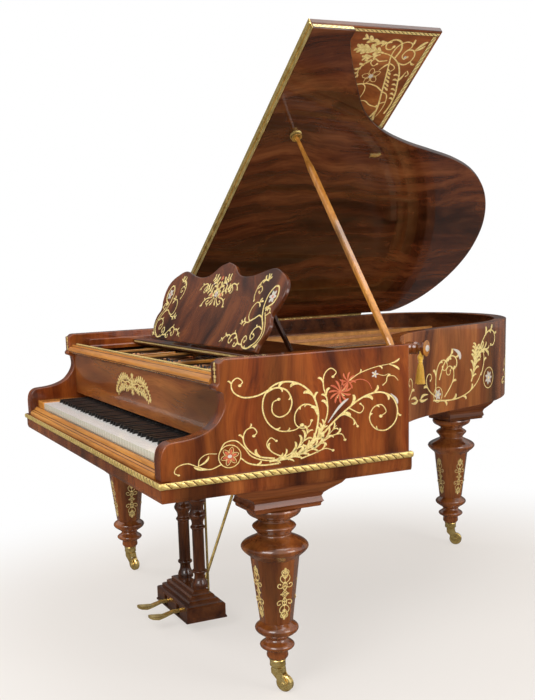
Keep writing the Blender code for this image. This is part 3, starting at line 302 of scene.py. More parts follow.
wall_wood = wood("rosewood_upright", *ROSE, "z", warp=0.16, streak=15.0, bands=5.0, seed=1.0)
# The lid's rosewood is a darker copy of the case's: painted shade and a painted reflection of the dark inside, on the
# lid's underside.
shaded_lid_wood = wood("rosewood_lid_shaded", (0.022, 0.006, 0.003), (0.105, 0.026, 0.009), (0.240, 0.074, 0.024), "y",
                warp=0.26, streak=17.0, bands=3.4, rough=0.1, seed=9.0, coat=0.8)
flap_wood = wood("rosewood_flap", (0.070, 0.018, 0.008), (0.240, 0.066, 0.018), (0.400, 0.135, 0.036), "y",
                 warp=0.30, streak=14.0, bands=4.0, rough=0.1, seed=3.0, coat=0.3)
desk_wood = wood("rosewood_desk", (0.028, 0.007, 0.003), (0.115, 0.028, 0.008), (0.235, 0.066, 0.017), "z",
                 warp=0.50, streak=11.0, bands=5.0, rough=0.1, seed=6.0, coat=0.3)
leg_wood = wood("rosewood_turned", (0.150, 0.036, 0.010), (0.290, 0.080, 0.017), (0.390, 0.125, 0.028), "z",
                warp=0.06, streak=30.0, bands=6.0, seed=2.0, coat=1.0)
mould_wood = wood("rosewood_moulding", (0.050, 0.011, 0.004), (0.165, 0.038, 0.008), (0.290, 0.084, 0.018),
                  "z", seed=5.0, coat=0.15)
fall_wood = wood("rosewood_fallboard", (0.130, 0.034, 0.009), (0.270, 0.076, 0.015), (0.390, 0.135, 0.028),
                 "x", streak=12.0, bands=3.0, seed=4.0, coat=0.45)
rim_wood = wood("rosewood_rim", (0.080, 0.018, 0.007), (0.290, 0.080, 0.018), (0.440, 0.150, 0.034), "z",
                warp=0.16, streak=15.0, bands=4.0, seed=1.5)
box_wood = wood("rosewood_pedal_box", (0.022, 0.006, 0.003), (0.075, 0.022, 0.007), (0.150, 0.048, 0.014),
                "x", seed=14.0, coat=0.3)
block_wood = wood("rosewood_leg_block", (0.080, 0.020, 0.007), (0.170, 0.046, 0.012), (0.260, 0.080, 0.020),
                  "y", warp=0.06, streak=26.0, bands=6.0, seed=15.0, coat=0.2)
deep_wood = wood("dark_rosewood", *DEEP, "x", seed=7.0)
post_wood = wood("dark_rosewood_upright", *DEEP, "z", streak=30.0, bands=9.0, seed=8.0)
amber_wood = wood("amber_rosewood", *AMBER, "x", warp=0.05, streak=22.0, bands=6.0, seed=11.0)
stick_wood = wood("amber_rosewood_prop", (0.330, 0.120, 0.022), (0.520, 0.205, 0.036), (0.640, 0.290, 0.060),
                  "z", warp=0.03, streak=40.0, bands=4.0, seed=12.0, coat=1.0)
spruce = wood("varnished_spruce", (0.36, 0.18, 0.06), (0.55, 0.32, 0.13), (0.70, 0.46, 0.22), "y",
              warp=0.01, streak=90.0, bands=6.0, rough=0.4, seed=13.0)
lacquer_brass = metal("lacquered_brass", (0.56, 0.37, 0.10), (0.92, 0.70, 0.28), 0.22, 0.80, 45.0, 0.05)
gilt = metal("gilt", (0.50, 0.33, 0.08), (0.90, 0.68, 0.25), 0.30, 0.5, 140.0, 0.15)
inlay_gold = metal("brass_inlay", (0.66, 0.46, 0.12), (1.0, 0.84, 0.38), 0.35, 0.3, 150.0, 0.05)
inlay_rose = gloss("stained_inlay", (0.46, 0.075, 0.028), (0.68, 0.175, 0.070), 0.3, 90.0)
pearl = pearl_material()
bronze = metal("bronzed_iron", (0.46, 0.19, 0.045), (0.72, 0.35, 0.10), 0.36, 0.3, 30.0, 0.3)
# The bronze plate gets a painted shade: a dark brown low between its ribs, near the player.
paint_plate_shade(bronze, (0.055, 0.026, 0.010))
# The lid's and the flap's edge faces get a painted shade, darker than their broad faces.
for board_wood in (shaded_lid_wood, flap_wood):
    paint_edge_shade(board_wood, (-0.592, 0.0, 0.806), 0.72)
steel = metal("plain_wire", (0.42, 0.42, 0.42), (0.70, 0.70, 0.69), 0.28, scale=80.0)
copper = metal("wound_wire", (0.42, 0.19, 0.09), (0.72, 0.38, 0.20), 0.32, scale=80.0, bump=0.4)
# The third colour is the painted shade on the key fronts.
ivory = key_gloss("ivory_keys", (0.95, 0.94, 0.90), (1.0, 0.99, 0.96), (0.66, 0.64, 0.52))
ebony = gloss("ebony_keys", (0.006, 0.005, 0.005), (0.016, 0.014, 0.013), 0.30, coat=0.1)
blued = metal("blued_steel", (0.03, 0.03, 0.035), (0.12, 0.12, 0.13), 0.4, scale=80.0)
black_felt = fibre("damper_felt", (0.06, 0.05, 0.05), (0.14, 0.12, 0.12))
red_felt = fibre("red_felt", (0.22, 0.02, 0.02), (0.38, 0.05, 0.04))
silk = fibre("yellow_silk", (0.55, 0.27, 0.01), (0.90, 0.58, 0.06), 500.0)

FINISHES = {
    wall_wood: ["bass_side", "treble_cheek", "desk_rail_bass", "desk_rail_treble"],
    rim_wood: ["bentside_rim"],
    box_wood: ["pedal_box"],
    block_wood: ["leg_block_bass", "leg_block_treble", "leg_block_rear"],
    fall_wood: ["fallboard"],
    shaded_lid_wood: ["lid_main"],
    flap_wood: ["lid_flap"],
    desk_wood: ["desk_panel"],
    leg_wood: ["leg_bass", "leg_treble", "leg_rear", "lid_peg"],
    mould_wood: ["base_moulding"],
    deep_wood: ["keybed", "desk_tray", "back_frame", "wrest_plank", "action_frame"],
    post_wood: ["desk_strut_bass", "desk_strut_treble", "lyre_post_bass", "lyre_post_treble"],
    amber_wood: ["keyslip", "key_block_bass", "key_block_treble", "fallboard_lip"],
    stick_wood: ["prop_stick"],
    spruce: ["soundboard"],
    bronze: ["iron_plate"],
    steel: ["strings_treble"],
    copper: ["strings_bass"],
    ivory: ["white_keys"],
    ebony: ["black_keys"],
    silk: ["tassel"],
}


def finish_nodes():
    """Gives every carried-over node its finish; what no list names is brass."""
    chosen = {name: finish for finish, names in FINISHES.items() for name in names}
    for name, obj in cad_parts.items():
        obj.data.materials.clear()
        obj.data.materials.append(chosen.get(name, lacquer_brass))


# Mesh helpers


def new_object(name, shape):
    mesh = bpy.data.meshes.new(name)
    shape.to_mesh(mesh)
    shape.free()
    obj = bpy.data.objects.new(name, mesh)
    bpy.context.scene.collection.objects.link(obj)
    return obj


def piece(name, shape, finish, body, smooth=32.0):
    """Turns a bmesh in the model's coordinates into a piece that rides on a body."""
    bmesh.ops.recalc_face_normals(shape, faces=shape.faces)
    obj = new_object(name, shape)
    obj.data.shade_smooth()
    obj.data.set_sharp_from_angle(angle=math.radians(smooth))
    obj.data.materials.append(finish)
    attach(obj, body)
    return obj


def add_loft(shape, rings):
    """Joins rings of points into one closed solid."""
    loops = [[shape.verts.new(point) for point in ring] for ring in rings]
    for below, above in zip(loops, loops[1:]):
        for i in range(len(below)):
            j = (i + 1) % len(below)
            shape.faces.new((below[i], below[j], above[j], above[i]))
    shape.faces.new(loops[0][::-1])
    shape.faces.new(loops[-1])


def add_block(shape, low, high, chamfer=0.0):
    """A block between two corners, its upper edges cut back."""
    (x0, y0, z0), (x1, y1, z1) = low, high
    rings = [(0.0, z0), (0.0, z1 - chamfer), (chamfer, z1)] if chamfer else [(0.0, z0), (0.0, z1)]
    loops = []
    for inset, z in rings:
        left, right, front, back = x0 + inset, x1 - inset, y0 + inset, y1 - inset
        corners = ((left, front, z), (right, front, z), (right, back, z), (left, back, z))
        loops.append([Vector(corner) + SHIFT for corner in corners])
    add_loft(shape, loops)


def circle(radius, sides):
    turns = [math.tau * k / sides for k in range(sides)]
    return [(radius * math.cos(turn), radius * math.sin(turn)) for turn in turns]


def add_turned(shape, profile, place, sides=12):
    """A solid of revolution; profile is (radius, height) and place a 4x4 matrix."""
    rings = []
    for radius, height in profile:
        points = circle(radius, sides) if radius else [(0.0, 0.0)]
        rings.append([shape.verts.new(place @ Vector((x, y, height))) for x, y in points])
    for below, above in zip(rings, rings[1:]):
        for k in range(sides):
            j = (k + 1) % sides
            corners = [ring[i % len(ring)] for ring, i in ((below, k), (below, j), (above, j), (above, k))]
            shape.faces.new(list(dict.fromkeys(corners)))
    for ring in (rings[0][::-1], rings[-1]):
        if len(ring) > 1:
            shape.faces.new(ring)


def upright(x, y, z):
    return Matrix.Translation(Vector((x, y, z)) + SHIFT)


def smoothed(points, steps=4):
    """Points on a Catmull-Rom curve through the given ones."""
    knots = [Vector(p) for p in points]
    knots = [2 * knots[0] - knots[1]] + knots + [2 * knots[-1] - knots[-2]]
    found = []
    for a, b, c, d in zip(knots, knots[1:], knots[2:], knots[3:]):
        for t in (k / steps for k in range(steps)):
            bend, twist = 2 * a - 5 * b + 4 * c - d, 3 * b - 3 * c + d - a
            found.append(0.5 * (2 * b + (c - a) * t + bend * t * t + twist * t**3))
    found.append(knots[-2])
    return [tuple(p) for p in found]


# Inlay patterns


class Pattern:
    """Flat shapes in one surface's own two directions, by kind of inlay."""

    def __init__(self):
        self.strips = {"gold": [], "pearl": [], "rose": [], "dark": []}

    def strip(self, line, halves, kind="gold"):
        self.strips[kind].append((line, halves))

    def vine(self, start, heading, length, turn, ease=1.0, width=0.0022, tip=0.5, leaves=(), knob=True):
        """A stem that turns more and more along its way, with leaves at given shares of it."""
        self.grow(*sweep(start, heading, length, turn, ease), width, tip, leaves, knob, "gold")

    def stem(self, points, width=0.0024, tip=0.5, leaves=(), knob=True, kind="gold"):
        """A stem on a fair curve through the given points."""
        line = fair(points)
        self.grow(line, headings_of(line), width, tip, leaves, knob, kind)

    def grow(self, line, headings, width, tip, leaves, knob, kind):
        last = len(line) - 1
        self.strip(line, [width * (1 - (1 - tip) * i / last) for i in range(last + 1)], kind)
        for share, side, size in leaves:
            at = round(share * last)
            self.leaf(line[at], headings[at] + side * 12, size, side * 95, size * 0.14, kind)
        if knob:
            self.disc(line[-1], width * 1.7, kind)

    def leaf(self, start, heading, length, turn, width, kind="gold"):
        """A lobe with a slender foot, broadest beyond its middle, that curls over to a round tip."""
        line, _ = sweep(start, heading, length, turn, 1.6, 0.0030)
        halves = []
        for i in range(len(line)):
            share = i / (len(line) - 1)
            end = math.sqrt(max(0.0, 1 - ((share - 0.66) / 0.34) ** 2)) if share > 0.66 else 1.0
            halves.append(width * (0.18 + 0.82 * min(1.0, share / 0.6)) * end + 0.0002)
        self.strip(line, halves, kind)

    def plume(self, points, size, count, width=0.0030, lean=16, turns=(88, 96), lesser=0.8, fullness=0.14):
        """An acanthus spray on a fair curve through the given points."""
        self.lobes(fair(points), size, count, width, lean, turns, lesser, 1, fullness)

    def frond(self, start, heading, length, turn, size, count, side):
        """An acanthus spray on a sweeping curve."""
        line, _ = sweep(start, heading, length, turn, 0.6)
        self.lobes(line, size, count, 0.0030, 14, (90, 80), 0.8, side)

    def lobes(self, line, size, count, width, lean, turns, lesser, first=1, fullness=0.088):
        """Lobes that leave a stem on both sides, longest near half way."""
        last = len(line) - 1
        headings = headings_of(line)
        self.strip(line, [width * (1 - 0.65 * i / last) for i in range(last + 1)])
        for k in range(count):
            share = (k + 0.4) / count
            at = min(max(round(share * last), 1), last - 1)
            reach = size * (0.62 + 0.5 * math.sin(math.pi * share**0.8))
            for side, turn, long in ((first, turns[0], reach), (-first, turns[1], reach * lesser)):
                self.leaf(line[at], headings[at] + side * lean, long, side * turn, long * fullness)

    def disc(self, centre, radius, kind="gold", sides=10):
        x, y = centre
        turns = [math.pi * k / (sides // 2) for k in range(sides // 2 + 1)]
        line = [(x + radius * math.cos(turn), y) for turn in turns]
        self.strip(line, [max(radius * math.sin(turn), 0.00005) for turn in turns], kind)

    def ring(self, centre, radius, width=0.0014):
        round_points = circle(radius, 28)
        line = [(centre[0] + x, centre[1] + y) for x, y in round_points + round_points[:1]]
        self.strip(line, [width] * len(line))

    def flower(self, centre, radius, petals=6, kind="rose", core="pearl", turn=0.0):
        for k in range(petals):
            angle = turn + 360.0 * k / petals
            x = centre[0] + radius * 0.20 * math.cos(math.radians(angle))
            y = centre[1] + radius * 0.20 * math.sin(math.radians(angle))
            line, _ = sweep((x, y), angle, radius * 0.8, 6, 1.0, 0.0030)
            last = len(line) - 1
            widest = radius * 1.5 / petals
            halves = [widest * math.sin(math.pi * (0.10 + 0.88 * i / last)) ** 0.7 for i in range(last + 1)]
            self.strip(line, halves, kind)
            vein, _ = sweep((x, y), angle, radius * 0.62, 8, 1.0)
            self.strip(vein, [0.0004] * len(vein))
        self.disc(centre, radius * 0.26, core)

    def open_flower(self, centre, radius, petals=5, core="pearl", turn=0.0, width=0.0011):
        """A flower drawn in line only, with the wood showing through its petals."""
        half = ((0.20, -0.5), (0.58, -1.0), (0.86, -0.6))
        outline = (*half, (1.0, 0.0), *((out, -side) for out, side in half[::-1]))
        for k in range(petals):
            angle = math.radians(turn + 360.0 * k / petals)
            spread_angle = math.pi / petals * 0.86
            loop = []
            for out, side in outline:
                way = angle + side * spread_angle * (1.0 if out < 0.8 else 0.7)
                x, y = radius * out * math.cos(way), radius * out * math.sin(way)
                loop.append((centre[0] + x, centre[1] + y))
            self.strip(loop, [width] * len(loop))
        self.disc(centre, radius * 0.24, core)

    def mirrored(self, flip_x=-1, flip_y=1):
        """This pattern and its mirror image about a line through the middle."""
        both = Pattern()
        for kind, found in self.strips.items():
            for line, halves in found:
                both.strip(line, halves, kind)
                both.strip([(flip_x * x, flip_y * y) for x, y in line], halves, kind)
        return both

    def moved(self, dx, dy, flip=False, scale=1.0):
        made = Pattern()
        across = -scale if flip else scale
        for kind, found in self.strips.items():
            for line, halves in found:
                line = [(x * across + dx, y * scale + dy) for x, y in line]
                made.strip(line, [half * scale for half in halves], kind)
        return made

    def join(self, *others):
        for other in others:
            for kind, found in other.strips.items():
                self.strips[kind] += found
        return self


def mm(*numbers):
    """Points from their coordinates in millimetres."""
    return [(x / 1000, y / 1000) for x, y in zip(numbers[::2], numbers[1::2])]


def fair(points):
    """A flat curve through the given points."""
    return [(x, y) for x, y, _ in smoothed([(*point, 0.0) for point in points], 5)]


def ways(line):
    """The way that a line takes at each of its points."""
    return [(b[0] - a[0], b[1] - a[1]) for a, b in zip([line[0]] + line, line[1:] + [line[-1]])]


def headings_of(line):
    return [math.degrees(math.atan2(dy, dx)) for dx, dy in ways(line)]


def sweep(start, heading, length, turn, ease, step=0.0042):
    """Points along a curve whose bend grows with the given power of the way along it."""
    count = max(6, round(length / step), round(abs(turn) / 16))
    x, y = start
    line, headings = [(x, y)], [heading]
    for i in range(count):
        share = (i + 0.5) / count
        heading += turn * (1 + ease) * share**ease / count
        x += length / count * math.cos(math.radians(heading))
        y += length / count * math.sin(math.radians(heading))
        line.append((x, y))
        headings.append(heading)
    return line, headings


INLAYS = {
    "gold": (inlay_gold, 0.0),
    "pearl": (pearl, 0.00008),
    "rose": (inlay_rose, 0.00004),
    # Dark strips are the painted shade of the gilt cord.
    "dark": (deep_wood, 0.00006),
}
LAYERS, LAYER = 7, 0.000006


def lay(name, pattern, surface, body, rise=0.0003, sink=0.0003, girth=1.0):
    """Lays a pattern on a surface as thin solids; surface maps (u, v, height) to a point."""
    for kind, found in pattern.strips.items():
        if not found:
            continue
        finish, lift = INLAYS[kind]
        shape = bmesh.new()
        for order, (line, halves) in enumerate(found):
            top = rise + lift + (order % LAYERS) * LAYER
            rings = []
            for (x, y), (dx, dy), half in zip(line, ways(line), halves):
                size = math.hypot(dx, dy) or 1.0
                ox, oy = -dy / size * half * girth, dx / size * half * girth
                corners = ((1, -sink), (1, top), (-1, top), (-1, -sink))
                rings.append([surface(x + side * ox, y + side * oy, height) for side, height in corners])
            add_loft(shape, rings)
        piece(f"{name}_{kind}", shape, finish, body, smooth=40.0)


def cheek_pattern():
    """Scrolls, a ringed flower, an acanthus spray and tendrils for the side of an arm."""
    p = Pattern()
    p.stem(mm(184, 682, 152, 672, 120, 682, 92, 695, 64, 690, 55, 675, 66, 667), 0.002, 0.7)
    p.stem(mm(120, 682, 124, 702, 144, 714, 172, 712), 0.0018, 0.5, knob=False)
    p.leaf((0.15, 0.672), 176, 0.046, -40, 0.0034)
    p.leaf((0.118, 0.684), 20, 0.042, 60, 0.0034)
    p.ring((0.207, 0.701), 0.031, 0.0016)
    p.flower((0.207, 0.701), 0.02, 6, turn=12)
    p.open_flower((0.207, 0.701), 0.026, 6, "pearl", 12, 0.0009)
    p.stem(mm(178, 712, 194, 738, 224, 742, 248, 720, 268, 694, 306, 678, 350, 676), 0.0018, 1.3,
            knob=False)
    p.stem(mm(334, 680, 290, 690, 258, 714, 246, 742, 254, 766, 274, 772, 285, 758, 276, 749), 0.0028, 0.6,
            [(0.1, -1, 0.034), (0.42, 1, 0.022), (0.62, 1, 0.018)])
    p.stem(mm(356, 682, 328, 698, 312, 720, 324, 738, 340, 728), 0.0024, 0.6, [(0.3, -1, 0.026)])
    p.stem(mm(238, 692, 262, 674, 302, 665, 346, 665), 0.0022, 1.4, [(0.45, 1, 0.024)], knob=False)
    p.plume(mm(318, 674, 372, 676, 420, 689, 458, 718, 486, 758), 0.05, 8, 0.0044, 9, (78, 48), 0.66, 0.095)
    p.plume(mm(345, 676, 386, 690, 418, 716, 436, 750), 0.04, 5, 0.003, 14, (100, 80), 0.8, 0.095)
    p.plume(mm(408, 684, 446, 694, 486, 720, 520, 752), 0.036, 5, 0.0026, 12, (70, 105), 0.8, 0.095)
    p.stem(mm(410, 670, 450, 680, 484, 690, 508, 682), 0.0026, 0.5, [(0.5, 1, 0.024)])
    p.stem(mm(452, 694, 500, 722, 534, 726, 545, 708), 0.0026, 0.5, [(0.45, 1, 0.026)])
    p.stem(mm(436, 700, 458, 742, 465, 795, 447, 848, 404, 882, 352, 887, 314, 863, 303, 822, 317, 781,
            350, 755, 392, 752, 416, 764), 0.0036, 0.5, [(0.16, 1, 0.04), (0.26, 1, 0.038), (0.34, 1,
            0.034), (0.42, 1, 0.03), (0.24, -1, 0.028), (0.78, 1, 0.02), (0.86, 1, 0.018)])
    p.stem(mm(312, 862, 342, 874, 374, 864, 388, 832, 376, 802, 350, 793, 331, 808, 333, 834, 350, 842),
            0.003, 0.6, [(0.16, -1, 0.02), (0.3, -1, 0.018)])
    p.stem(mm(464, 786, 448, 814, 420, 820, 398, 800, 396, 772, 412, 756, 436, 758, 445, 774), 0.0026, 0.6,
            [(0.3, 1, 0.018), (0.2, 1, 0.016)])
    p.stem(mm(330, 874, 292, 858, 252, 856, 224, 872, 218, 896, 234, 910, 249, 899, 241, 889), 0.0028, 0.6,
            [(0.55, 1, 0.018)])
    p.stem(mm(474, 744, 492, 785, 492, 828, 482, 865, 485, 898, 504, 914, 521, 902, 511, 890), 0.0026, 0.6,
            [(0.2, 1, 0.034), (0.32, -1, 0.03), (0.45, 1, 0.028), (0.3, 1, 0.026)])
    p.stem(mm(468, 722, 510, 762, 552, 794, 600, 823, 650, 834, 692, 818, 711, 782, 704, 744, 674, 722,
            640, 730, 622, 760, 634, 790, 660, 797, 675, 776, 658, 764), 0.0034, 0.45, [(0.1, -1, 0.042),
            (0.16, 1, 0.04), (0.21, -1, 0.038), (0.26, 1, 0.032), (0.31, -1, 0.03), (0.44, 1, 0.022),
            (0.62, -1, 0.018), (0.72, -1, 0.02), (0.8, -1, 0.018)])
    p.leaf((0.494, 0.762), 52, 0.09, -26, 0.0044, "pearl")
    p.leaf((0.69, 0.826), -40, 0.04, -50, 0.004, "pearl")
    p.stem(mm(560, 796, 592, 780, 604, 794, 594, 806), 0.002, 0.7)
    p.stem(mm(540, 784, 570, 766, 585, 742), 0.0024, 0.6, [(0.5, -1, 0.022)])
    for k in range(11):
        p.leaf((0.532, 0.846), 33 * k, 0.036, 44, 0.0034, "rose")
    for k in range(8):
        p.leaf((0.556, 0.874), 45 * k, 0.027, -50, 0.0028, "rose")
    for k in range(5):
        p.leaf((0.532, 0.846), 20 + 72 * k, 0.02, 30, 0.0014)
    p.disc((0.532, 0.846), 0.0036)
    p.stem(mm(556, 872, 590, 892, 640, 906, 690, 912), 0.0018, 0.6, [(0.35, 1, 0.016), (0.75, -1, 0.018)],
            knob=False)
    p.leaf((0.686, 0.912), 10, 0.036, 40, 0.003)
    p.leaf((0.684, 0.911), -18, 0.04, -36, 0.0034)
    p.stem(mm(562, 868, 592, 876, 618, 866, 630, 846), 0.0016, 0.6, knob=False, kind="rose")
    p.flower((0.64, 0.886), 0.011, 5, "pearl", "gold")
    p.stem(mm(648, 886, 668, 880, 684, 884), 0.0012, 0.6, knob=False)
    p.stem(mm(664, 852, 676, 862, 680, 876, 700, 876, 714, 862), 0.0018, 0.6, [(0.4, -1, 0.018)],
            knob=False)
    return p


def wall_pattern():
    """One repeat of the scrollwork on the curved side, about half a metre long."""
    p = Pattern()
    p.vine((0.1, 0.046), 92, 0.215, -360, 2.2, 0.0024, 0.6, [(0.3, 1, 0.035), (0.5, -1, 0.025), (0.7, 1,
            0.022)])
    p.vine((0.1, 0.046), 150, 0.15, -300, 2.0, 0.0022, 0.6, [(0.4, 1, 0.03)])
    p.vine((0.12, 0.1), 66, 0.19, -285, 1.6, 0.0026, 0.8, [(0.35, -1, 0.036), (0.5, 1, 0.034), (0.65, 1,
            0.026)])
    p.leaf((0.196, 0.196), -20, 0.06, -90, 0.007, "pearl")
    p.vine((0.15, 0.04), 42, 0.2, 420, 1.8, 0.0022, 0.6, [(0.3, -1, 0.028), (0.5, -1, 0.022)])
    p.flower((0.112, 0.052), 0.019, 6, "pearl", "gold")
    p.ring((0.112, 0.052), 0.025, 0.0012)
    p.vine((0.085, 0.036), -8, 0.3, 66, 1.1, 0.0026, 0.6, [(0.2, -1, 0.03), (0.35, 1, 0.034), (0.55, -1,
            0.03), (0.7, 1, 0.03)], knob=False)
    p.vine((0.358, 0.092), 60, 0.24, 480, 1.0, 0.0024, 0.6, [(0.2, -1, 0.026), (0.4, -1, 0.024)])
    p.flower((0.412, 0.078), 0.024, 7, "pearl", "gold")
    p.ring((0.412, 0.078), 0.036, 0.0015)
    p.frond((0.3, 0.076), 66, 0.12, 24, 0.052, 6, 1)
    p.frond((0.32, 0.14), 60, 0.1, -90, 0.045, 5, -1)
    p.vine((0.33, 0.15), 62, 0.235, -270, 1.8, 0.0028, 0.8, [(0.4, 1, 0.035), (0.55, 1, 0.03), (0.7, 1,
            0.026), (0.5, -1, 0.026)])
    p.leaf((0.052, 0.06), 175, 0.05, 60, 0.0045)
    p.leaf((0.05, 0.046), 190, 0.055, -50, 0.0045)
    return p


def flap_pattern():
    """Corner ornament for the lid, in the flap's own width and depth from its corner."""
    p = Pattern()
    p.stem(mm(340, 66, 286, 72, 230, 88, 173, 104, 128, 118, 92, 128, 62, 124, 44, 104, 46, 82, 60, 74, 74,
            86), 0.003, 0.5, knob=False)
    for k in range(5):
        p.leaf((0.152 + 0.014 * k, 0.111 - 0.004 * k), -62, 0.022 + 0.002 * k, 20, 0.003)
    p.stem(mm(318, 34, 280, 30, 236, 36, 196, 50, 158, 64, 126, 84, 106, 108, 92, 134, 86, 160), 0.003,
            0.6, knob=False)
    for k in range(6):
        p.leaf((0.262 - 0.019 * k, 0.032 + 0.006 * k), 140 - 4 * k, 0.021, -80, 0.0034)
    p.stem(mm(104, 112, 70, 106, 44, 120, 38, 146, 52, 164, 70, 158, 72, 142, 62, 136), 0.003, 0.7)
    p.stem(mm(118, 94, 124, 66, 108, 50, 84, 50, 70, 66, 74, 84, 92, 90, 104, 78, 96, 70), 0.0024, 0.7)
    p.disc((0.097, 0.077), 0.0045, "pearl")
    p.leaf((0.076, 0.06), -150, 0.05, 34, 0.0046)
    p.leaf((0.074, 0.058), -118, 0.036, -40, 0.004)
    p.leaf((0.062, 0.076), -172, 0.03, -30, 0.0032)
    p.leaf((0.11, 0.052), -40, 0.026, -70, 0.0032)
    p.plume(mm(46, 150, 52, 182, 46, 214, 36, 244), 0.03, 4, 0.003, 14, (30, 40), 0.9, 0.16)
    p.plume(mm(86, 160, 78, 190, 76, 222, 72, 250), 0.034, 5, 0.0032, 16, (34, 44), 1.0, 0.16)
    p.plume(mm(92, 166, 100, 190, 106, 214), 0.026, 3, 0.0026, 14, (40, 60), 0.9, 0.16)
    p.stem(mm(112, 132, 116, 158, 108, 176, 122, 184, 134, 170, 126, 160), 0.0022, 0.6)
    p.plume(mm(112, 186, 132, 206, 156, 212, 178, 202), 0.018, 5, 0.0036, 30, (80, 60), 0.4, 0.2)
    p.open_flower((0.172, 0.158), 0.031, 5, "pearl", 20)
    p.leaf((0.15, 0.142), -150, 0.04, 50, 0.003)
    p.stem(mm(120, 122, 130, 100, 140, 92, 150, 100, 146, 110), 0.002, 0.6)
    p.stem(mm(226, 92, 208, 122, 200, 158, 204, 190, 196, 214), 0.0024, 0.6, [(0.75, 1, 0.026), (0.85, -1,
            0.024)])
    p.stem(mm(216, 210, 202, 178, 212, 158, 236, 152, 262, 156), 0.0022, 0.6)
    p.stem(mm(292, 72, 284, 104, 268, 130, 270, 148, 286, 146), 0.0022, 0.5)
    p.stem(mm(228, 90, 240, 66, 268, 54, 300, 52, 330, 58), 0.0022, 0.5, knob=False)
    p.stem(mm(270, 56, 276, 70, 286, 78), 0.002, 0.8)
    p.leaf((0.15, 0.044), 10, 0.04, 24, 0.0034)
    p.stem(mm(146, 42, 158, 32, 166, 36), 0.0016, 0.8)
    for at, way in ((0.3, 12), (0.312, -14), (0.318, 30)):
        p.leaf((at, 0.07), way, 0.036, way, 0.003)
    return p


def desk_side_pattern():
    """Right-hand scrollwork of the music desk."""
    p = Pattern()
    p.stem(mm(398, 140, 420, 152, 430, 176, 416, 202, 392, 202, 372, 176, 372, 140, 388, 108, 412, 82, 424,
            56, 410, 30, 378, 12), 0.003, 0.8, knob=False)
    p.stem(mm(394, 122, 420, 92, 436, 60, 424, 30, 400, 14), 0.002, 0.7, knob=False)
    p.flower((0.402, 0.172), 0.021, 6, "pearl", "rose")
    for way in (200, 240, 280, 320):
        p.leaf((0.398, 0.142), way, 0.018, 50, 0.0028)
    p.stem(mm(404, 112, 420, 122, 414, 136, 402, 130), 0.002, 0.7, [(0.3, -1, 0.014)])
    p.stem(mm(390, 106, 366, 112, 344, 102, 320, 94, 300, 108, 300, 134, 318, 152, 338, 150), 0.0026, 0.6,
            knob=False)
    for way, size in ((20, 0.026), (-30, 0.022), (60, 0.02)):
        p.leaf((0.332, 0.152), way, size, -40, 0.0032)
    p.stem(mm(336, 100, 310, 88, 284, 90, 262, 82), 0.0024, 0.5, [(0.4, 1, 0.022), (0.5, -1, 0.022), (0.7,
            1, 0.018), (0.75, -1, 0.018)], knob=False)
    p.stem(mm(336, 222, 306, 224, 284, 204, 282, 176, 292, 158), 0.0026, 0.6, [(0.1, 1, 0.024), (0.12, -1,
            0.024), (0.3, 1, 0.02)])
    p.stem(mm(286, 196, 304, 204, 318, 192, 310, 180, 302, 186), 0.002, 0.7)
    for way in (20, 60, 100):
        p.leaf((0.33, 0.224), way, 0.022, 30, 0.0028)
    p.stem(mm(416, 70, 392, 78, 368, 68, 360, 48, 374, 36, 386, 48, 376, 54), 0.0022, 0.7, [(0.3, 1,
            0.022), (0.42, 1, 0.018), (0.2, -1, 0.016)])
    p.stem(mm(392, 16, 366, 8, 336, 12, 320, 30, 332, 46, 346, 36, 338, 28), 0.0026, 0.7, [(0.2, -1,
            0.016), (0.4, -1, 0.02)])
    p.stem(mm(326, 18, 304, 20, 284, 34, 260, 50, 236, 44, 228, 26, 242, 18, 250, 28), 0.0026, 0.7, [(0.15,
            1, 0.02), (0.3, 1, 0.024), (0.42, -1, 0.016), (0.55, 1, 0.02)])
    p.stem(mm(238, 40, 214, 44, 190, 34, 166, 18), 0.0022, 0.5, [(0.2, 1, 0.018), (0.4, -1, 0.02), (0.6, 1,
            0.02), (0.75, -1, 0.014)], knob=False)
    p.stem(mm(300, 20, 286, 10, 272, 12, 276, 20), 0.002, 0.8)
    p.leaf((0.404, 0.016), 10, 0.026, 30, 0.003)
    p.leaf((0.404, 0.018), -12, 0.018, -20, 0.0026)
    return p


def bouquet_pattern():
    """Spray of leaves and flowers at the middle of the music desk."""
    half = Pattern()
    half.plume(mm(6, 176, 18, 204, 38, 226, 66, 236), 0.024, 5, 0.0024, 30, (90, 90), 1.0, 0.16)
    half.plume(mm(12, 168, 42, 182, 72, 196, 100, 198), 0.022, 5, 0.0024, 30, (90, 90), 1.0, 0.16)
    half.stem(mm(70, 194, 100, 212, 128, 208, 150, 190), 0.0026, 0.6, [(0.6, 1, 0.018), (0.8, -1, 0.014)],
            knob=False)
    half.stem(mm(96, 206, 112, 192, 104, 180, 92, 188), 0.002, 0.7)
    half.stem(mm(24, 166, 60, 160, 82, 146, 88, 130), 0.0026, 0.6, [(0.4, 1, 0.018), (0.6, -1, 0.02), (0.8,
            1, 0.014)], knob=False)
    half.stem(mm(12, 160, 30, 146, 48, 140, 56, 148, 46, 152), 0.0022, 0.7, [(0.3, -1, 0.016)])
    half.leaf((0.006, 0.156), -64, 0.026, 50, 0.0034)
    half.leaf((0.002, 0.186), 62, 0.034, -70, 0.004)
    half.flower((0.036, 0.172), 0.01, 5, "rose", "gold")
    half.disc((0.05, 0.212), 0.0034, "pearl")
    whole = half.mirrored()
    whole.ring((0.0, 0.176), 0.017, 0.0014)
    whole.flower((0.0, 0.176), 0.013, 7, "pearl", "rose")
    whole.flower((0.0, 0.232), 0.009, 5, "rose", "gold")
    return whole


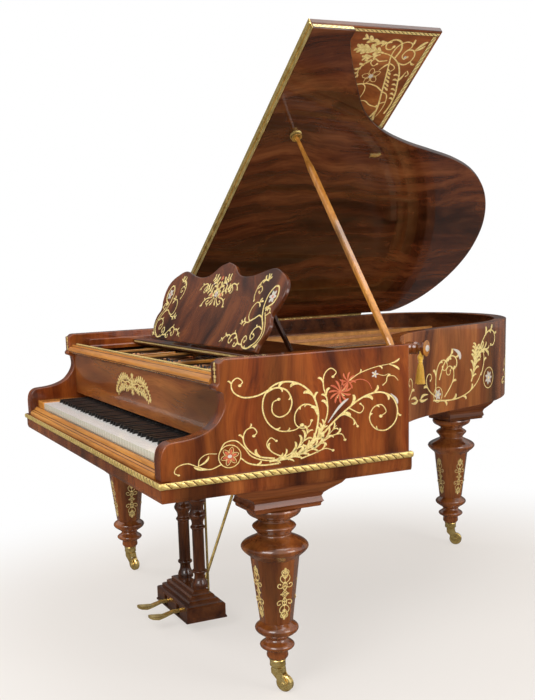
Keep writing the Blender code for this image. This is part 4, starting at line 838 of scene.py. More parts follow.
def garland_pattern():
    """A leafy festoon with a rosette, for the middle of the fallboard."""
    half = Pattern()
    half.plume(mm(18, 826, 56, 836, 94, 834, 130, 820, 158, 794), 0.017, 10, 0.0026, 26, (60, 60), 1.0, 0.2)
    half.plume(mm(14, 808, 50, 800, 88, 800, 120, 792, 146, 776), 0.017, 9, 0.0026, 26, (60, 60), 1.0, 0.2)
    half.stem(mm(22, 818, 50, 822, 72, 816, 68, 808, 60, 814), 0.002, 0.8)
    half.stem(mm(74, 818, 98, 820, 114, 812, 110, 804, 102, 808), 0.002, 0.8)
    half.flower((0.16, 0.784), 0.01, 6, "gold", "gold")
    whole = half.mirrored()
    whole.flower((0.0, 0.817), 0.018, 8, "gold", "gold")
    whole.ring((0.0, 0.817), 0.021, 0.0014)
    for way in (-50, -90, -130, 50, 90, 130):
        whole.leaf((0.0, 0.817 + 0.019 * math.copysign(1, way)), way, 0.017, 0, 0.0034)
    return whole


def fret_pattern():
    """Slender upright fretwork, centred on nothing; its half height is 72 mm."""
    quarter = Pattern()
    quarter.vine((0.0, 0.01), 42, 0.03, 100, 0.4, 0.0011, 1.0, knob=False)
    quarter.vine((0.0, 0.03), 28, 0.046, 250, 1.2, 0.0011, 0.9)
    quarter.vine((0.0, 0.024), -35, 0.04, 260, 1.2, 0.0011, 0.9)
    quarter.vine((0.0, 0.044), 40, 0.036, 190, 0.8, 0.0011, 0.9)
    quarter.vine((0.0, 0.052), 20, 0.03, 200, 1.0, 0.001, 0.9)
    quarter.leaf((0.0, 0.06), 82, 0.016, 12, 0.002)
    quarter.leaf((0.0015, 0.058), 50, 0.01, 30, 0.0014)
    quarter.leaf((0.004, 0.0), 0, 0.01, 0, 0.0016)
    whole = quarter.mirrored().mirrored(1, -1)
    for size in (0.01, 0.0055):
        square = [(size, 0.0), (0.0, size * 1.25), (-size, 0.0), (0.0, -size * 1.25), (size, 0.0)]
        whole.strip(square, [0.0009] * 5)
    whole.strip([(0.0, -0.066), (0.0, 0.066)], [0.0006, 0.0006])
    return whole


# Surfaces

RIM = [Vector(point) for point in smoothed([(*point, 0.0) for point in RIM_CURVE], RIM_STEPS)]


def along_rim(distance):
    """The point of the curved side at a distance from the cheek, and its outward direction."""
    left = distance
    for a, b in zip(RIM, RIM[1:]):
        size = (b - a).length
        if left <= size or b is RIM[-1]:
            way = (b - a) / size
            return a + way * left, Vector((way.y, -way.x, 0.0))
        left -= size


def on_rim(u, v, height):
    point, outward = along_rim(u)
    return Vector((point.x, point.y, v)) + outward * height + SHIFT


def on_cheek(u, v, height):
    return Vector((SIDE_X + height, u, v)) + SHIFT


def on_bass_side(u, v, height):
    return Vector((-SIDE_X - height, u, v)) + SHIFT


def facing_front(face):
    """A surface that looks at the player from the given depth."""
    return lambda u, v, height: Vector((u, face - height, v)) + SHIFT


def in_desk(u, v, height):
    """The music desk's own plane, with height towards the strings."""
    return DESK_TURN @ Vector((u, height, v)) + DESK_AXIS + SHIFT


def on_desk(u, v, height):
    return in_desk(u, v, -DESK_THICK / 2 - height)


def lid_point(x, y, z):
    return LID_TURN @ Vector((x, y, z)) + LID_AXIS + SHIFT


def on_flap(u, v, height):
    """The flap's outer face, which looks down while it is folded; u and v start at its corner."""
    return lid_point(FLAP_RIGHT - u, FOLD_Y + FLAP_FAR - v, FLAP_UNDER - height)


def on_flap_left(u, v, height):
    return lid_point(FLAP_LEFT + u, FOLD_Y + FLAP_FAR - v, FLAP_UNDER - height)


def on_leg(name, side):
    """One flat of a leg's tapering octagon, with v as the height from the floor."""
    x, y = LEG_CENTRES[name]
    outward = Vector((math.cos(side), math.sin(side), 0.0))
    across = Vector((-math.sin(side), math.cos(side), 0.0))
    slope = (FLAT_HIGH[0] - FLAT_LOW[0]) / (FLAT_HIGH[1] - FLAT_LOW[1])
    normal = (outward - Vector((0.0, 0.0, slope))).normalized()

    def surface(u, v, height):
        reach = FLAT_LOW[0] + slope * (v - FLAT_LOW[1])
        return Vector((x, y, v)) + outward * reach + across * u + normal * height + SHIFT

    return surface


def across_x(u, v, height):
    return Vector((height, u, v)) + SHIFT


def level_at(u, v, height):
    return Vector((u, v, height)) + SHIFT


# Smooth forms that stand for the faceted solids


def slab(name, outline, place, low, high, finish, body, node=None, bevel=0.002, segments=3):
    """A board of any outline between two heights; place maps (u, v, height) to a point."""
    shape = bmesh.new()
    add_loft(shape, [[place(u, v, height) for u, v in outline] for height in (low, high)])
    obj = piece(name, shape, finish, body)
    if bevel:
        edge = obj.modifiers.new("edge", "BEVEL")
        edge.width = bevel
        edge.segments = segments
        edge.limit_method = "ANGLE"
        edge.angle_limit = math.radians(40)
    if node:
        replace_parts(obj, node)
    return obj


def arm_outline(rear, foot):
    """The side of an arm: its hollow front, its shoulder and its level top."""
    front = 0.008
    hollow = [
        (front, 0.707), (0.012, 0.727), (0.022, 0.742), (0.039, 0.750), (0.076, 0.753), (0.114, 0.760),
        (0.148, 0.774), (0.169, 0.794), (0.183, 0.817), (0.187, 0.838), (0.184, 0.862),
    ]
    shoulder = [
        (0.166, 0.869), (0.165, 0.878), (0.172, 0.886), (0.172, RIM_TOP - 0.010), (0.180, RIM_TOP - 0.008),
        (0.188, RIM_TOP - 0.001), (0.197, RIM_TOP), (rear, RIM_TOP),
    ]
    return [(front, MOULD_TOP + FIT)] + smoothed(hollow) + shoulder + foot


def rim_offset(inset, floor):
    """The curved side's plan drawn in by the given amount, kept behind the cheek."""
    found = []
    for i, point in enumerate(RIM):
        way = RIM[min(i + 1, len(RIM) - 1)] - RIM[max(i - 1, 0)]
        moved = point + Vector((-way.y, way.x, 0.0)).normalized() * inset
        stop = SPINE_REAR if moved.x < -0.6 else CHEEK_REAR + floor
        here = (moved.x, max(moved.y, stop))
        if not found or math.dist(here, found[-1]) > 0.002:
            found.append(here)
    return found


def ring_of(radius, height, flats, centre, sides):
    """A circle, or an octagon with as many points, about a vertical line."""
    points = []
    for k in range(sides):
        angle = math.tau * k / sides
        off = (angle + math.pi / 8) % (math.pi / 4) - math.pi / 8
        reach = radius / math.cos(off) if flats else radius
        spot = (centre[0] + reach * math.cos(angle), centre[1] + reach * math.sin(angle), height)
        points.append(Vector(spot) + SHIFT)
    return points


LEG_HEAD = [
    (0.0730, 0.5295), (0.0745, 0.5220), (0.0680, 0.5110), (0.0500, 0.5005), (0.0425, 0.4935), (0.0480, 0.4880),
    (0.0600, 0.4775), (0.0500, 0.4640), (0.0455, 0.4555), (0.0540, 0.4490), (0.0820, 0.4350), (0.0925, 0.4230),
    (0.0880, 0.4120), (0.0750, 0.4000), (0.0670, 0.3925),
]
LEG_FOOT = [
    (0.0425, 0.2050), (0.0595, 0.1910), (0.0560, 0.1770), (0.0300, 0.1560), (0.0475, 0.1390), (0.0440, 0.1290),
    (0.0300, 0.1200), (0.0300, 0.1030), (0.0220, 0.0939),
]
POST_HEAD = [
    (0.0300, 0.6116), (0.0300, 0.5600), (0.0240, 0.5450), (0.0240, 0.5000), (0.0300, 0.4850), (0.0230, 0.4600),
    (0.0230, 0.4480), (0.0305, 0.4330), (0.0305, 0.4250), (0.0225, 0.4100), (0.0225, 0.3940), (0.0285, 0.3810),
    (0.0285, 0.3730), (0.0205, 0.3580), (0.0195, 0.3450), (0.0240, 0.3390), (0.0240, 0.3340), (0.0190, 0.3290),
]
POST_FOOT = [
    (0.0190, 0.1920), (0.0240, 0.1890), (0.0240, 0.1830), (0.0180, 0.1770), (0.0190, 0.1600), (0.0255, 0.1450),
    (0.0265, 0.1314),
]
POST_FLATS = [(0.0185, 0.3280), (0.0185, 0.1930)]
FERRULE = [
    (0.0, 0.0735), (0.0150, 0.0725), (0.0205, 0.0725), (0.0222, 0.0738), (0.0226, 0.0770), (0.0220, 0.0800),
    (0.0220, 0.0885), (0.0232, 0.0905), (0.0235, 0.0918), (0.0226, 0.0935), (0.0, 0.0935),
]


def add_column(name, centre, head, flats, foot, steps, sides, finish, node):
    """A turned upright with an octagonal middle."""
    rings = []
    for flat, profile in ((False, smoothed(head, steps)), (True, flats), (False, smoothed(foot, steps))):
        rings += [ring_of(radius, z, flat, centre, sides) for radius, z in profile]
    shape = bmesh.new()
    add_loft(shape, rings)
    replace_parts(piece(name, shape, finish, "case"), node)


def make_turnings():
    """Legs, lyre posts and ferrules, with smooth rings."""
    for name, centre in LEG_CENTRES.items():
        flats = [FLAT_HIGH, FLAT_LOW]
        add_column(f"turned_leg_{name}", centre, LEG_HEAD, flats, LEG_FOOT, 4, 48, leg_wood,
                   f"leg_{name}")
        shape = bmesh.new()
        add_turned(shape, FERRULE, upright(*centre, 0.0), 40)
        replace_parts(piece(f"turned_ferrule_{name}", shape, lacquer_brass, "case"), f"ferrule_{name}")
    for name, x in (("bass", -0.063), ("treble", 0.063)):
        add_column(f"turned_post_{name}", (x, POST_Y), POST_HEAD, POST_FLATS, POST_FOOT, 3, 40, post_wood,
                   f"lyre_post_{name}")


def add_crease_shade(name, profile, places, half_length, body):
    """Thin dark lines along a moulding, at given corners of its profile: painted shade in the moulding's creases."""
    shape = bmesh.new()
    for at, half in places:
        y, z = profile[min(at, len(profile) - 1)]
        ring = [(y + a, z + b) for a, b in circle(half, 6)]
        add_loft(shape, [[across_x(a, b, end) for a, b in ring] for end in (-half_length, half_length)])
    piece(name, shape, deep_wood, body, smooth=60.0)


def make_case():
    """Arms and curved side, with dark sheets on the inner walls as painted shade and a painted reflection of the dark
    lid.
    """
    foot = [(CHEEK_REAR, 0.612), (0.0304, 0.612), (0.0304, MOULD_TOP + FIT)]
    cheek = slab("fair_treble_cheek", arm_outline(CHEEK_REAR, foot), across_x, INNER_X, SIDE_X, wall_wood,
                 "case", "treble_cheek", 0.0028)
    carve(cheek, (INNER_X - 0.03, 0.689, 0.925), (0.694, 0.719, 0.98))
    foot = [(1.58, RIM_FOOT), (CHEEK_REAR, RIM_FOOT)] + foot
    slab("fair_bass_side", arm_outline(1.58, foot), across_x, -SIDE_X, -INNER_X, wall_wood, "case",
         "bass_side", 0.0028)
    rim = rim_offset(0.0, FIT) + rim_offset(RIM_THICK, FIT)[::-1]
    slab("fair_bentside", rim, level_at, RIM_FOOT, RIM_TOP, rim_wood, "case", "bentside_rim")
    # Dark sheets on the inner walls of the curved side and the spine: painted shade and a painted reflection of the
    # dark lid.
    half, top = 0.0005, RIM_TOP - 0.003
    veneer = rim_offset(RIM_THICK - half, 2 * FIT) + rim_offset(RIM_THICK + half, 2 * FIT)[::-1]
    slab("inner_wall_shade", veneer, level_at, LININGS_LOW, top, deep_wood, "case", bevel=0.0)
    spine = [(0.740, LININGS_LOW), (1.575, LININGS_LOW), (1.575, top), (0.740, top)]
    slab("spine_wall_shade", spine, across_x, -INNER_X - half, -INNER_X + half, deep_wood, "case",
         bevel=0.0)


def make_boards():
    """Lid, flap, desk and fallboard lip with fair curves and eased edges."""
    start = LID_AXIS.x + 0.0064
    treble = SIDE_X + LID_OVER
    curve = [(max(x, start), y) for x, y in rim_offset(-LID_OVER, 0.0)]
    near = 0.6128
    board = [(start, near), (treble, near), (treble, CHEEK_REAR + LID_OVER)]
    board += [point for point in curve if point[0] < treble - 0.030]
    slab("fair_lid", board, lambda u, v, h: lid_point(u - LID_AXIS.x, v, h), LID_UNDER, LID_UPPER, shaded_lid_wood,
         "lid", "lid_main", 0.0035)
    flap = [(FLAP_LEFT, FLAP_NEAR), (FLAP_RIGHT, FLAP_NEAR), (FLAP_RIGHT, FLAP_FAR), (FLAP_LEFT, FLAP_FAR)]
    slab("fair_flap", flap, lambda u, v, h: lid_point(u, FOLD_Y + v, h), FLAP_UNDER, FLAP_UNDER + LID_THICK,
         flap_wood, "lid_flap", "lid_flap", 0.0030)
    crest = [
        (0.000, 0.290), (0.055, 0.277), (0.108, 0.248), (0.160, 0.238), (0.225, 0.242), (0.335, 0.263),
        (0.400, 0.248), (0.448, 0.222), (0.464, 0.186), (0.454, 0.145), (0.436, 0.114), (0.452, 0.086),
        (0.450, 0.055), (0.434, 0.028), (0.432, 0.000),
    ]
    half = smoothed(crest, 6)
    panel = half[::-1] + [(-x, z) for x, z in half[1:]]
    slab("fair_desk", panel, in_desk, -DESK_THICK / 2, DESK_THICK / 2, desk_wood, "desk_panel",
         "desk_panel", 0.0035)
    face = FALL_FACE - FIT
    nose = [(0.008, 0.006), (0.013, 0.008), (0.022, 0.015), (0.023, 0.022), (0.018, 0.029), (0.010, 0.033)]
    lip = [(face, LIP_TOP - 0.036), (face, LIP_TOP), (face - 0.005, LIP_TOP)]
    lip += smoothed([(face - out, LIP_TOP - down) for out, down in nose])
    slab("fair_lip", lip, across_x, -0.665, 0.665, amber_wood, "fallboard", "fallboard_lip",
         0.0008, 2)
    # The dark lines in the creases of the lip and the key slip are painted shade.
    add_crease_shade("lip_crease_shade", lip, ((5, 0.0010), (16, 0.0012), (22, 0.0016), (27, 0.0010)), 0.664, "fallboard")
    slip = [(y, KEYSLIP_TOP + z) for y, z in ((0.031, 0.001), (0.025, -0.004), (0.020, -0.011), (0.011, -0.014))]
    add_crease_shade("keyslip_crease_shade", slip, ((0, 0.0009), (2, 0.0014), (3, 0.0009)), 0.662, "case")


def carve(obj, low, high):
    """Cuts a box out of a piece for good."""
    shape = bmesh.new()
    add_block(shape, low, high)
    bmesh.ops.recalc_face_normals(shape, faces=shape.faces)
    tool = new_object("cut", shape)
    step = obj.modifiers.new("cut", "BOOLEAN")
    step.operation = "DIFFERENCE"
    step.object = tool
    step.solver = "EXACT"
    bpy.context.view_layer.update()
    solid = obj.evaluated_get(bpy.context.evaluated_depsgraph_get())
    baked = bpy.data.meshes.new_from_object(solid)
    obj.modifiers.clear()
    obj.data = baked
    bpy.data.objects.remove(tool, do_unlink=True)


# Gilding


def add_rope(shape, groove_shade, start, way, up, out, length, height, proud, pitch, slant=0.75, step=0.0014):
    """A half-round rope: its strands lean over by the given share of a pitch; dark pieces in the grooves between
    strands are painted shade.
    """
    start = start + SHIFT
    count = round(length / step)
    rows = 7
    rings = []
    for i in range(count + 1):
        s = length * i / count
        ring = []
        for k in range(rows):
            t = -1.0 + 2.0 * k / (rows - 1)
            swell = 0.12 + 0.88 * abs(math.sin(math.pi * (s / pitch + slant * t / 2))) ** 0.6
            depth = proud * math.sqrt(max(0.0, 1 - t * t)) ** 0.7 * swell
            ring.append(start + way * s + up * (t * height / 2) + out * depth)
        ring += [start + way * s + up * (t * height / 2) - out * 0.0006 for t in (1.0, -1.0)]
        rings.append(ring)
    add_loft(shape, rings)
    # Dark wood set into each groove between the strands stands for painted shade.
    half = way * (pitch * 0.085)
    for n in range(1, int(length / pitch)):
        rings = []
        for k in range(7):
            t = -0.86 + 1.72 * k / 6
            deep = out * (proud * (0.16 + 0.36 * math.sqrt(1 - t * t)))
            base = start + way * (pitch * (n - slant * t / 2)) + up * (t * height / 2)
            rings.append([base - half, base - half + deep, base + half + deep, base + half])
        add_loft(groove_shade, rings)


def make_ropes():
    """The gilt rope round the base moulding, and the bead behind the fallboard's lip, each with painted shade in its
    grooves.
    """
    shape, groove_shade = bmesh.new(), bmesh.new()
    middle = MOULD_TOP - ROPE_HEIGHT / 2
    rear = CHEEK_REAR + 0.003
    knob = [(0.0, -0.0078), (0.0026, -0.0070), (0.0042, -0.0035), (0.0046, 0.0), (0.0042, 0.0035), (0.0026, 0.0070),
            (0.0, 0.0078)]
    for x, way, out, length in ((-MOULD_X, X, -Y, 2 * MOULD_X), (MOULD_X, Y, X, rear), (-MOULD_X, Y, -X, rear)):
        add_rope(shape, groove_shade, Vector((x, 0.0, middle)), way, Z, out, length, ROPE_HEIGHT, 0.0042, 0.0235)
    for x in (-MOULD_X, MOULD_X):
        for y in (0.0, rear):
            add_turned(shape, knob, upright(x, y, middle))
    piece("gilt_rope", shape, gilt, "case", 50.0)
    piece("rope_groove_shade", groove_shade, deep_wood, "case", 50.0)
    shape, groove_shade = bmesh.new(), bmesh.new()
    add_rope(shape, groove_shade, Vector((-0.655, 0.199, 0.9076)), X, Y, Z, 1.31, 0.0070, 0.0032, 0.0085, 0.2, 0.0017)
    piece("gilt_bead", shape, gilt, "fallboard", 50.0)
    piece("bead_groove_shade", groove_shade, deep_wood, "fallboard", 50.0)


def between(start, end, pitch):
    """A function from the way along and the offset to a point, and the middles of even steps."""
    dx, dy = end[0] - start[0], end[1] - start[1]
    length = math.hypot(dx, dy)
    wx, wy = dx / length, dy / length
    count = round(length / pitch)
    middles = [(k + 0.5) * length / count for k in range(count)]
    return lambda s, off: (start[0] + wx * s - wy * off, start[1] + wy * s + wx * off), middles


def add_lozenges(pattern, start, end, height, pitch, lean, duty):
    """A row of leaning lozenges between two points of a flat surface."""
    at, middles = between(start, end, pitch)
    half = middles[0] * duty
    for s in middles:
        line = [at(s + t * lean * pitch, t * height / 2) for t in (-1.0, -0.5, 0.5, 1.0)]
        pattern.strip(line, [half * 0.55, half, half, half * 0.55])


def add_cord(pattern, start, end, height, pitch, lean=0.55):
    """A flat gilt band with leaning dark cuts, between two points of a surface; the cuts and the dark lines along
    both sides are the painted shade of a twisted cord.
    """
    at, middles = between(start, end, pitch)
    pattern.strip([start, end], [height / 2, height / 2])
    length = math.dist(start, end)
    # Dark lines along both sides: painted shade beside the cord.
    for side in (-1, 1):
        reach = side * (height / 2 + 0.0006)
        pattern.strip([at(0.0, reach), at(length, reach)], [0.0006, 0.0006], "dark")
    # Leaning dark cuts: painted shade between the cord's strands.
    for s in middles:
        line = [at(s + t * lean * pitch, t * height / 2) for t in (-0.92, 0.0, 0.92)]
        pattern.strip(line, [0.0005, 0.0010, 0.0005], "dark")


def make_lid_borders():
    """Gilt cord let into the lid's edges and the flap's outer face, and the flap's corners."""
    border, edge, corner = Pattern(), Pattern(), flap_pattern()
    middle = LID_UNDER + LID_THICK / 2
    add_cord(border, (0.012, 0.006), (0.012, FLAP_FAR - 0.006), 0.009, 0.0150)
    add_cord(border, (0.020, 0.016), (FLAP_RIGHT - 0.030, 0.016), 0.013, 0.0190)
    add_cord(edge, (0.616, middle), (CHEEK_REAR + 0.008, middle), 0.0095, 0.0170)
    lay("flap_border", border, on_flap, "lid_flap", rise=0.00015)
    lay("lid_edge_rope", edge, lambda u, v, h: lid_point(FLAP_RIGHT + h, u, v), "lid", rise=0.0006)
    lay("flap_scrolls", corner, on_flap, "lid_flap", rise=0.00015)
    lay("flap_scrolls_bass", corner.moved(0.008, 0.0), on_flap_left, "lid_flap", rise=0.00015)


def make_inlays():
    """Marquetry on the case, the desk and the legs."""
    cheek = cheek_pattern()
    foot = 0.680
    for name, side in (("cheek_inlay", on_cheek), ("bass_cheek_inlay", on_bass_side)):
        lay(name, cheek, lambda u, v, h: side(u - 0.012, foot + (v - foot) * 0.94, h), "case", girth=0.78)
    wall = wall_pattern()
    rows, spine = Pattern(), Pattern()
    for start, flip in ((0.478, False), (0.462, True), (1.030, False), (2.000, True)):
        rows.join(wall.moved(start, 0.676, flip))
    for start, flip in ((0.82, False), (1.56, True)):
        spine.join(wall.moved(start, 0.690, flip))
    lay("wall_inlay", rows, on_rim, "case")
    lay("spine_inlay", spine, on_bass_side, "case")
    lay("desk_inlay", desk_side_pattern().mirrored().join(bouquet_pattern()), on_desk, "desk_panel")
    lay("fallboard_garland", garland_pattern(), facing_front(FALL_FACE), "fallboard", rise=0.0010)
    fret = fret_pattern()
    for name in LEG_CENTRES:
        for k in range(4):
            lay(f"leg_fret_{name}_{k}", fret.moved(0.0, 0.297), on_leg(name, math.pi / 2 * k), "case", rise=0.0004)
    for name, x in (("bass", -0.6915), ("treble", 0.6915)):
        lay(f"arm_fret_{name}", fret.moved(x, 0.911, scale=0.36), facing_front(0.172), "case", rise=0.0005)
    dots = Pattern()
    add_lozenges(dots, (-0.590, 0.910), (0.590, 0.910), 0.0050, 0.0085, 0.2, 0.6)
    lay("tray_inlay", dots, facing_front(0.408), "desk_tray", rise=0.0002)


# Strung back hardware

RIBS = [((-0.40, 0.26), (-0.50, 1.71)), ((-0.12, 0.26), (-0.24, 1.728)), ((0.17, 0.26), (0.072, 1.52)),
        ((0.42, 0.26), (0.385, 0.885))]
RIB_HALF = 0.008


def clear_of_ribs(x, y, room):
    for (x0, y0), (x1, y1) in RIBS:
        if abs(x - (x0 + (x1 - x0) * (y - y0) / (y1 - y0))) < RIB_HALF + room:
            return False
    return True


def make_pins():
    """Tuning pins with their wire ends, and hitch pins."""
    pins, wires, hitch = bmesh.new(), bmesh.new(), bmesh.new()
    pin = [(0.0, -0.004), (0.0032, -0.004), (0.0032, 0.020), (0.0026, 0.0215), (0.0, 0.0215)]
    nail = [(0.0, -0.002), (0.0016, -0.002), (0.0016, 0.010), (0.0, 0.0105)]
    side, lift = Vector((0.0005, 0.0, 0.0)), Vector((0.0, 0.0, 0.0009))
    for row in range(3):
        for k in range(62):
            x = -0.595 + 0.0193 * k + 0.0064 * row
            y = 0.302 + 0.030 * row + 0.012 * math.sin(k * 0.9)
            if not clear_of_ribs(x, y, 0.005) or abs(x) > 0.605:
                continue
            add_turned(pins, pin, upright(x, y, PIN_FOOT), 8)
            ends = (Vector((x + 0.003, y, 0.868)) + SHIFT, Vector((x + 0.006, AGRAFFE_Y - 0.008, 0.872)) + SHIFT)
            add_loft(wires, [[end - side, end + side, end + lift] for end in ends])
    for k in range(110):
        point, outward = along_rim(0.10 + 0.0115 * k)
        spot = point - outward * 0.118
        if clear_of_ribs(spot.x, spot.y, 0.004):
            add_turned(hitch, nail, upright(spot.x, spot.y, PIN_FOOT), 6)
    piece("tuning_pins", pins, blued, "case")
    piece("wire_ends", wires, copper, "case")
    piece("hitch_pins", hitch, steel, "case")


def make_dampers():
    """Dampers, the felt at the strings' near ends and the two bars over the action."""
    heads, felts, cloth, bars = (bmesh.new() for _ in range(4))
    for k in range(66):
        x = -0.560 + 0.0172 * k
        low = 0.8795 if x < -0.125 else 0.8735
        if clear_of_ribs(x, 0.535, 0.006) and abs(x) <= 0.58:
            add_block(felts, (x - 0.0040, 0.515, low), (x + 0.0040, 0.553, low + 0.006))
            add_block(heads, (x - 0.0048, 0.512, low + 0.0061), (x + 0.0048, 0.556, low + 0.0185), 0.0015)
    add_block(cloth, (-0.600, 0.4705, 0.8585), (0.600, 0.4880, 0.8690))
    for x in (-0.165, 0.195):
        add_block(bars, (x - 0.011, 0.212, 0.888), (x + 0.011, 0.404, 0.896), 0.002)
    piece("damper_heads", heads, ebony, "case")
    piece("damper_felts", felts, black_felt, "case")
    piece("string_felt", cloth, red_felt, "case")
    piece("action_bars", bars, amber_wood, "case")


def make_small_parts():
    """Axle pins, hinge screws and the peg's face."""
    pin = [(0.0, -0.0165), (0.0040, -0.0160), (0.0052, -0.0146), (0.0052, 0.0146), (0.0040, 0.0160), (0.0, 0.0165)]
    for name, heading in (("bass", 20.0), ("treble", 35.0), ("rear", 50.0)):
        turn = Matrix.Rotation(math.radians(heading), 4, "Z")
        hub = upright(*LEG_CENTRES[name], 0.0) @ turn @ Matrix.Translation((0.021, 0.0, 0.0245))
        shape = bmesh.new()
        add_turned(shape, pin, hub @ Matrix.Rotation(math.pi / 2, 4, "X"), 14)
        piece(f"axle_pin_{name}", shape, lacquer_brass, f"caster_fork_{name}")
    screws, face, oval = bmesh.new(), bmesh.new(), bmesh.new()
    head = [(0.0, -0.0004), (0.0042, -0.0004), (0.0042, 0.0002), (0.0030, 0.0008), (0.0, 0.0009)]
    for k in range(14):
        place = upright(-SIDE_X - 0.0019, 0.73 + 0.057 * k, 0.928) @ Matrix.Rotation(-math.pi / 2, 4, "Y")
        add_turned(screws, head, place, 10)
    piece("hinge_screws", screws, lacquer_brass, "case")
    out = Vector((math.cos(math.radians(30)), math.sin(math.radians(30)), 0.0))
    place = upright(0.670, 0.828, 0.926) @ out.to_track_quat("Z", "X").to_matrix().to_4x4()
    rosette = [(0.0, -0.0010), (0.0222, -0.0010), (0.0226, 0.0002), (0.0200, 0.0016), (0.0130, 0.0022), (0.0, 0.0024)]
    button = [(0.0, 0.0012), (0.0125, 0.0012), (0.0125, 0.0027), (0.0110, 0.0031), (0.0, 0.0033)]
    add_turned(face, rosette, place, 28)
    add_turned(oval, button, place @ Matrix.Diagonal((0.72, 1.0, 1.0, 1.0)), 24)
    piece("peg_face", face, amber_wood, "lid_peg")
    piece("peg_pearl", oval, pearl, "lid_peg")


def make_tassel():
    """Silk tassel: a bound head and a skirt of single strands."""
    axis = Vector((0.657553, -0.088998, 0.926))
    head, strands = bmesh.new(), bmesh.new()
    profile = [
        (0.0, -0.0084), (0.0024, -0.0086), (0.0026, -0.0150), (0.0050, -0.0175), (0.0078, -0.0225), (0.0086, -0.0275),
        (0.0076, -0.0325), (0.0056, -0.0350), (0.0062, -0.0362), (0.0062, -0.0400), (0.0050, -0.0420), (0.0, -0.0430),
    ]
    add_turned(head, profile, Matrix.Translation(axis), 20)
    for vert in head.verts:
        local = vert.co - axis
        if math.hypot(local.x, local.y) > 0.003:
            ridge = 1.0 + 0.07 * math.cos(10 * math.atan2(local.y, local.x) + 420 * local.z)
            vert.co.xy = (axis.x + local.x * ridge, axis.y + local.y * ridge)
    for k in range(150):
        angle = random.random() * math.tau
        depth = math.sqrt(random.random())
        length = 0.0585 + 0.0030 * random.random()
        sway = 0.0020 * (random.random() - 0.5)
        phase = random.random() * math.tau
        knot, spread_out = 0.0042 * depth, 0.0135 * depth + 0.001
        rings = []
        for t in (i / 6 for i in range(7)):
            out = knot + (spread_out - knot) * t**0.75
            x = axis.x + out * math.cos(angle) + sway * math.sin(phase + 5 * t)
            y = axis.y + out * math.sin(angle) + sway * math.cos(phase + 4 * t)
            rings.append([(x + dx, y + dy, axis.z - 0.0395 - length * t) for dx, dy in circle(0.00065, 4)])
        add_loft(strands, rings)
    for name, shape in (("tassel_head", head), ("tassel_strands", strands)):
        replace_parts(piece(name, shape, silk, "tassel", 60.0), "tassel")


# Stage


def make_floor():
    """A pale floor that fades to white for the camera and keeps the object's shadow; its warm grey round the piano is
    a painted shadow.
    """
    shape = bmesh.new()
    bmesh.ops.create_circle(shape, cap_ends=True, radius=14.0, segments=64)
    floor = new_object("floor", shape)
    floor.location.z = -0.0005
    made, tree, shader, here = new_material("studio_floor")
    shader.inputs["Base Color"].default_value = (0.80, 0.76, 0.72, 1.0)
    shader.inputs["Roughness"].default_value = 0.9
    around = {"Vector": here, "Location": (-0.10, 0.05, 0.0), "Scale": (0.62, 0.52, 0.6)}
    scaled = add(tree, "Mapping", around).outputs[0]
    reach = add(tree, "VectorMath", {0: scaled}, operation="LENGTH").outputs["Value"]
    fade = spread(tree, reach, 0.0, 1.0, 0.45, 1.15, interpolation_type="SMOOTHSTEP")
    path = add(tree, "LightPath").outputs
    seen = maths(tree, "MAXIMUM", path["Is Camera Ray"], path["Is Transmission Ray"])
    share = maths(tree, "MULTIPLY", seen, spread(tree, fade, 0.68, 1.0))
    # The warm grey near the piano, seen by the camera, is a painted shadow that fades to white further out.
    tone = ramp(tree, fade, [(0.0, (0.86, 0.815, 0.77)), (1.0, (1.0, 1.0, 1.0))])
    white = add(tree, "Emission", {"Color": tone, "Strength": 1.0}).outputs[0]
    mirrored = add(tree, "Emission", {"Color": (1.0, 0.92, 0.84, 1.0), "Strength": 0.13}).outputs[0]
    both = add(tree, "MixShader", {0: share, 1: shader.outputs[0], 2: white}).outputs[0]
    both = add(tree, "MixShader", {0: path["Is Glossy Ray"], 1: both, 2: mirrored}).outputs[0]
    tree.links.new(both, tree.nodes["Material Output"].inputs["Surface"])
    floor.data.materials.append(made)


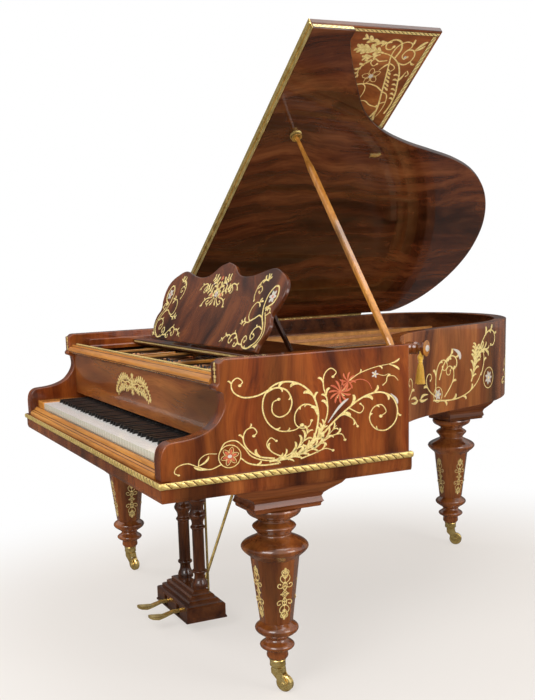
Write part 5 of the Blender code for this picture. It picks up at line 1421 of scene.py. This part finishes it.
def make_world():
    """Soft light from all round, white for the camera and darker behind in the polish."""
    world = bpy.data.worlds.new("studio")
    bpy.context.scene.world = world
    world.use_nodes = True
    tree = world.node_tree
    lit = tree.nodes["Background"]
    lit.inputs["Color"].default_value = (1.0, 0.985, 0.97, 1.0)
    lit.inputs["Strength"].default_value = 0.55
    path = add(tree, "LightPath").outputs
    seen = maths(tree, "MAXIMUM", path["Is Camera Ray"], path["Is Glossy Ray"])
    seen = maths(tree, "MAXIMUM", seen, path["Is Transmission Ray"])
    way = add(tree, "SeparateXYZ", {0: add(tree, "TexCoord").outputs["Generated"]}).outputs
    side = spread(tree, way["X"], 0.0, 1.0, -0.5, 0.4)
    high = spread(tree, way["Z"], 0.0, 1.0, 0.25, 0.75)
    open_sky = maths(tree, "MAXIMUM", maths(tree, "MAXIMUM", side, high), path["Is Camera Ray"])
    level = spread(tree, open_sky, 0.10, 1.0)
    plain = add(tree, "Background", {"Color": (1.0, 1.0, 1.0, 1.0), "Strength": level}).outputs[0]
    both = add(tree, "MixShader", {0: seen, 1: lit.outputs[0], 2: plain}).outputs[0]
    tree.links.new(both, tree.nodes["World Output"].inputs["Surface"])


def make_lamps():
    """Four soft lamps; the left one leaves no reflection."""
    lamps = [
        ("key", (2.6, -3.4, 3.2), (0.2, -0.2, 0.7), 2.4, 120.0),
        ("side", (3.8, 1.6, 2.4), (0.0, 0.0, 0.8), 2.0, 60.0),
        ("left", (-3.2, -2.6, 2.6), (0.0, -0.2, 0.8), 2.4, 60.0),
        ("top", (0.4, 0.4, 4.2), (0.0, 0.0, 0.6), 2.6, 50.0),
    ]
    for name, place, target, size, power in lamps:
        data = bpy.data.lights.new(name, "AREA")
        data.shape = "SQUARE"
        data.size = size
        data.energy = power
        lamp = bpy.data.objects.new(name, data)
        bpy.context.scene.collection.objects.link(lamp)
        lamp.location = place
        lamp.rotation_euler = (Vector(target) - Vector(place)).to_track_quat("-Z", "Y").to_euler()
        lamp.visible_glossy = name != "left"


make_camera()
finish_nodes()
make_turnings()
make_case()
make_boards()
make_ropes()
make_lid_borders()
make_inlays()
make_pins()
make_dampers()
make_small_parts()
make_tassel()
make_floor()
make_world()
make_lamps()
bpy.context.scene.view_settings.view_transform = "Standard"
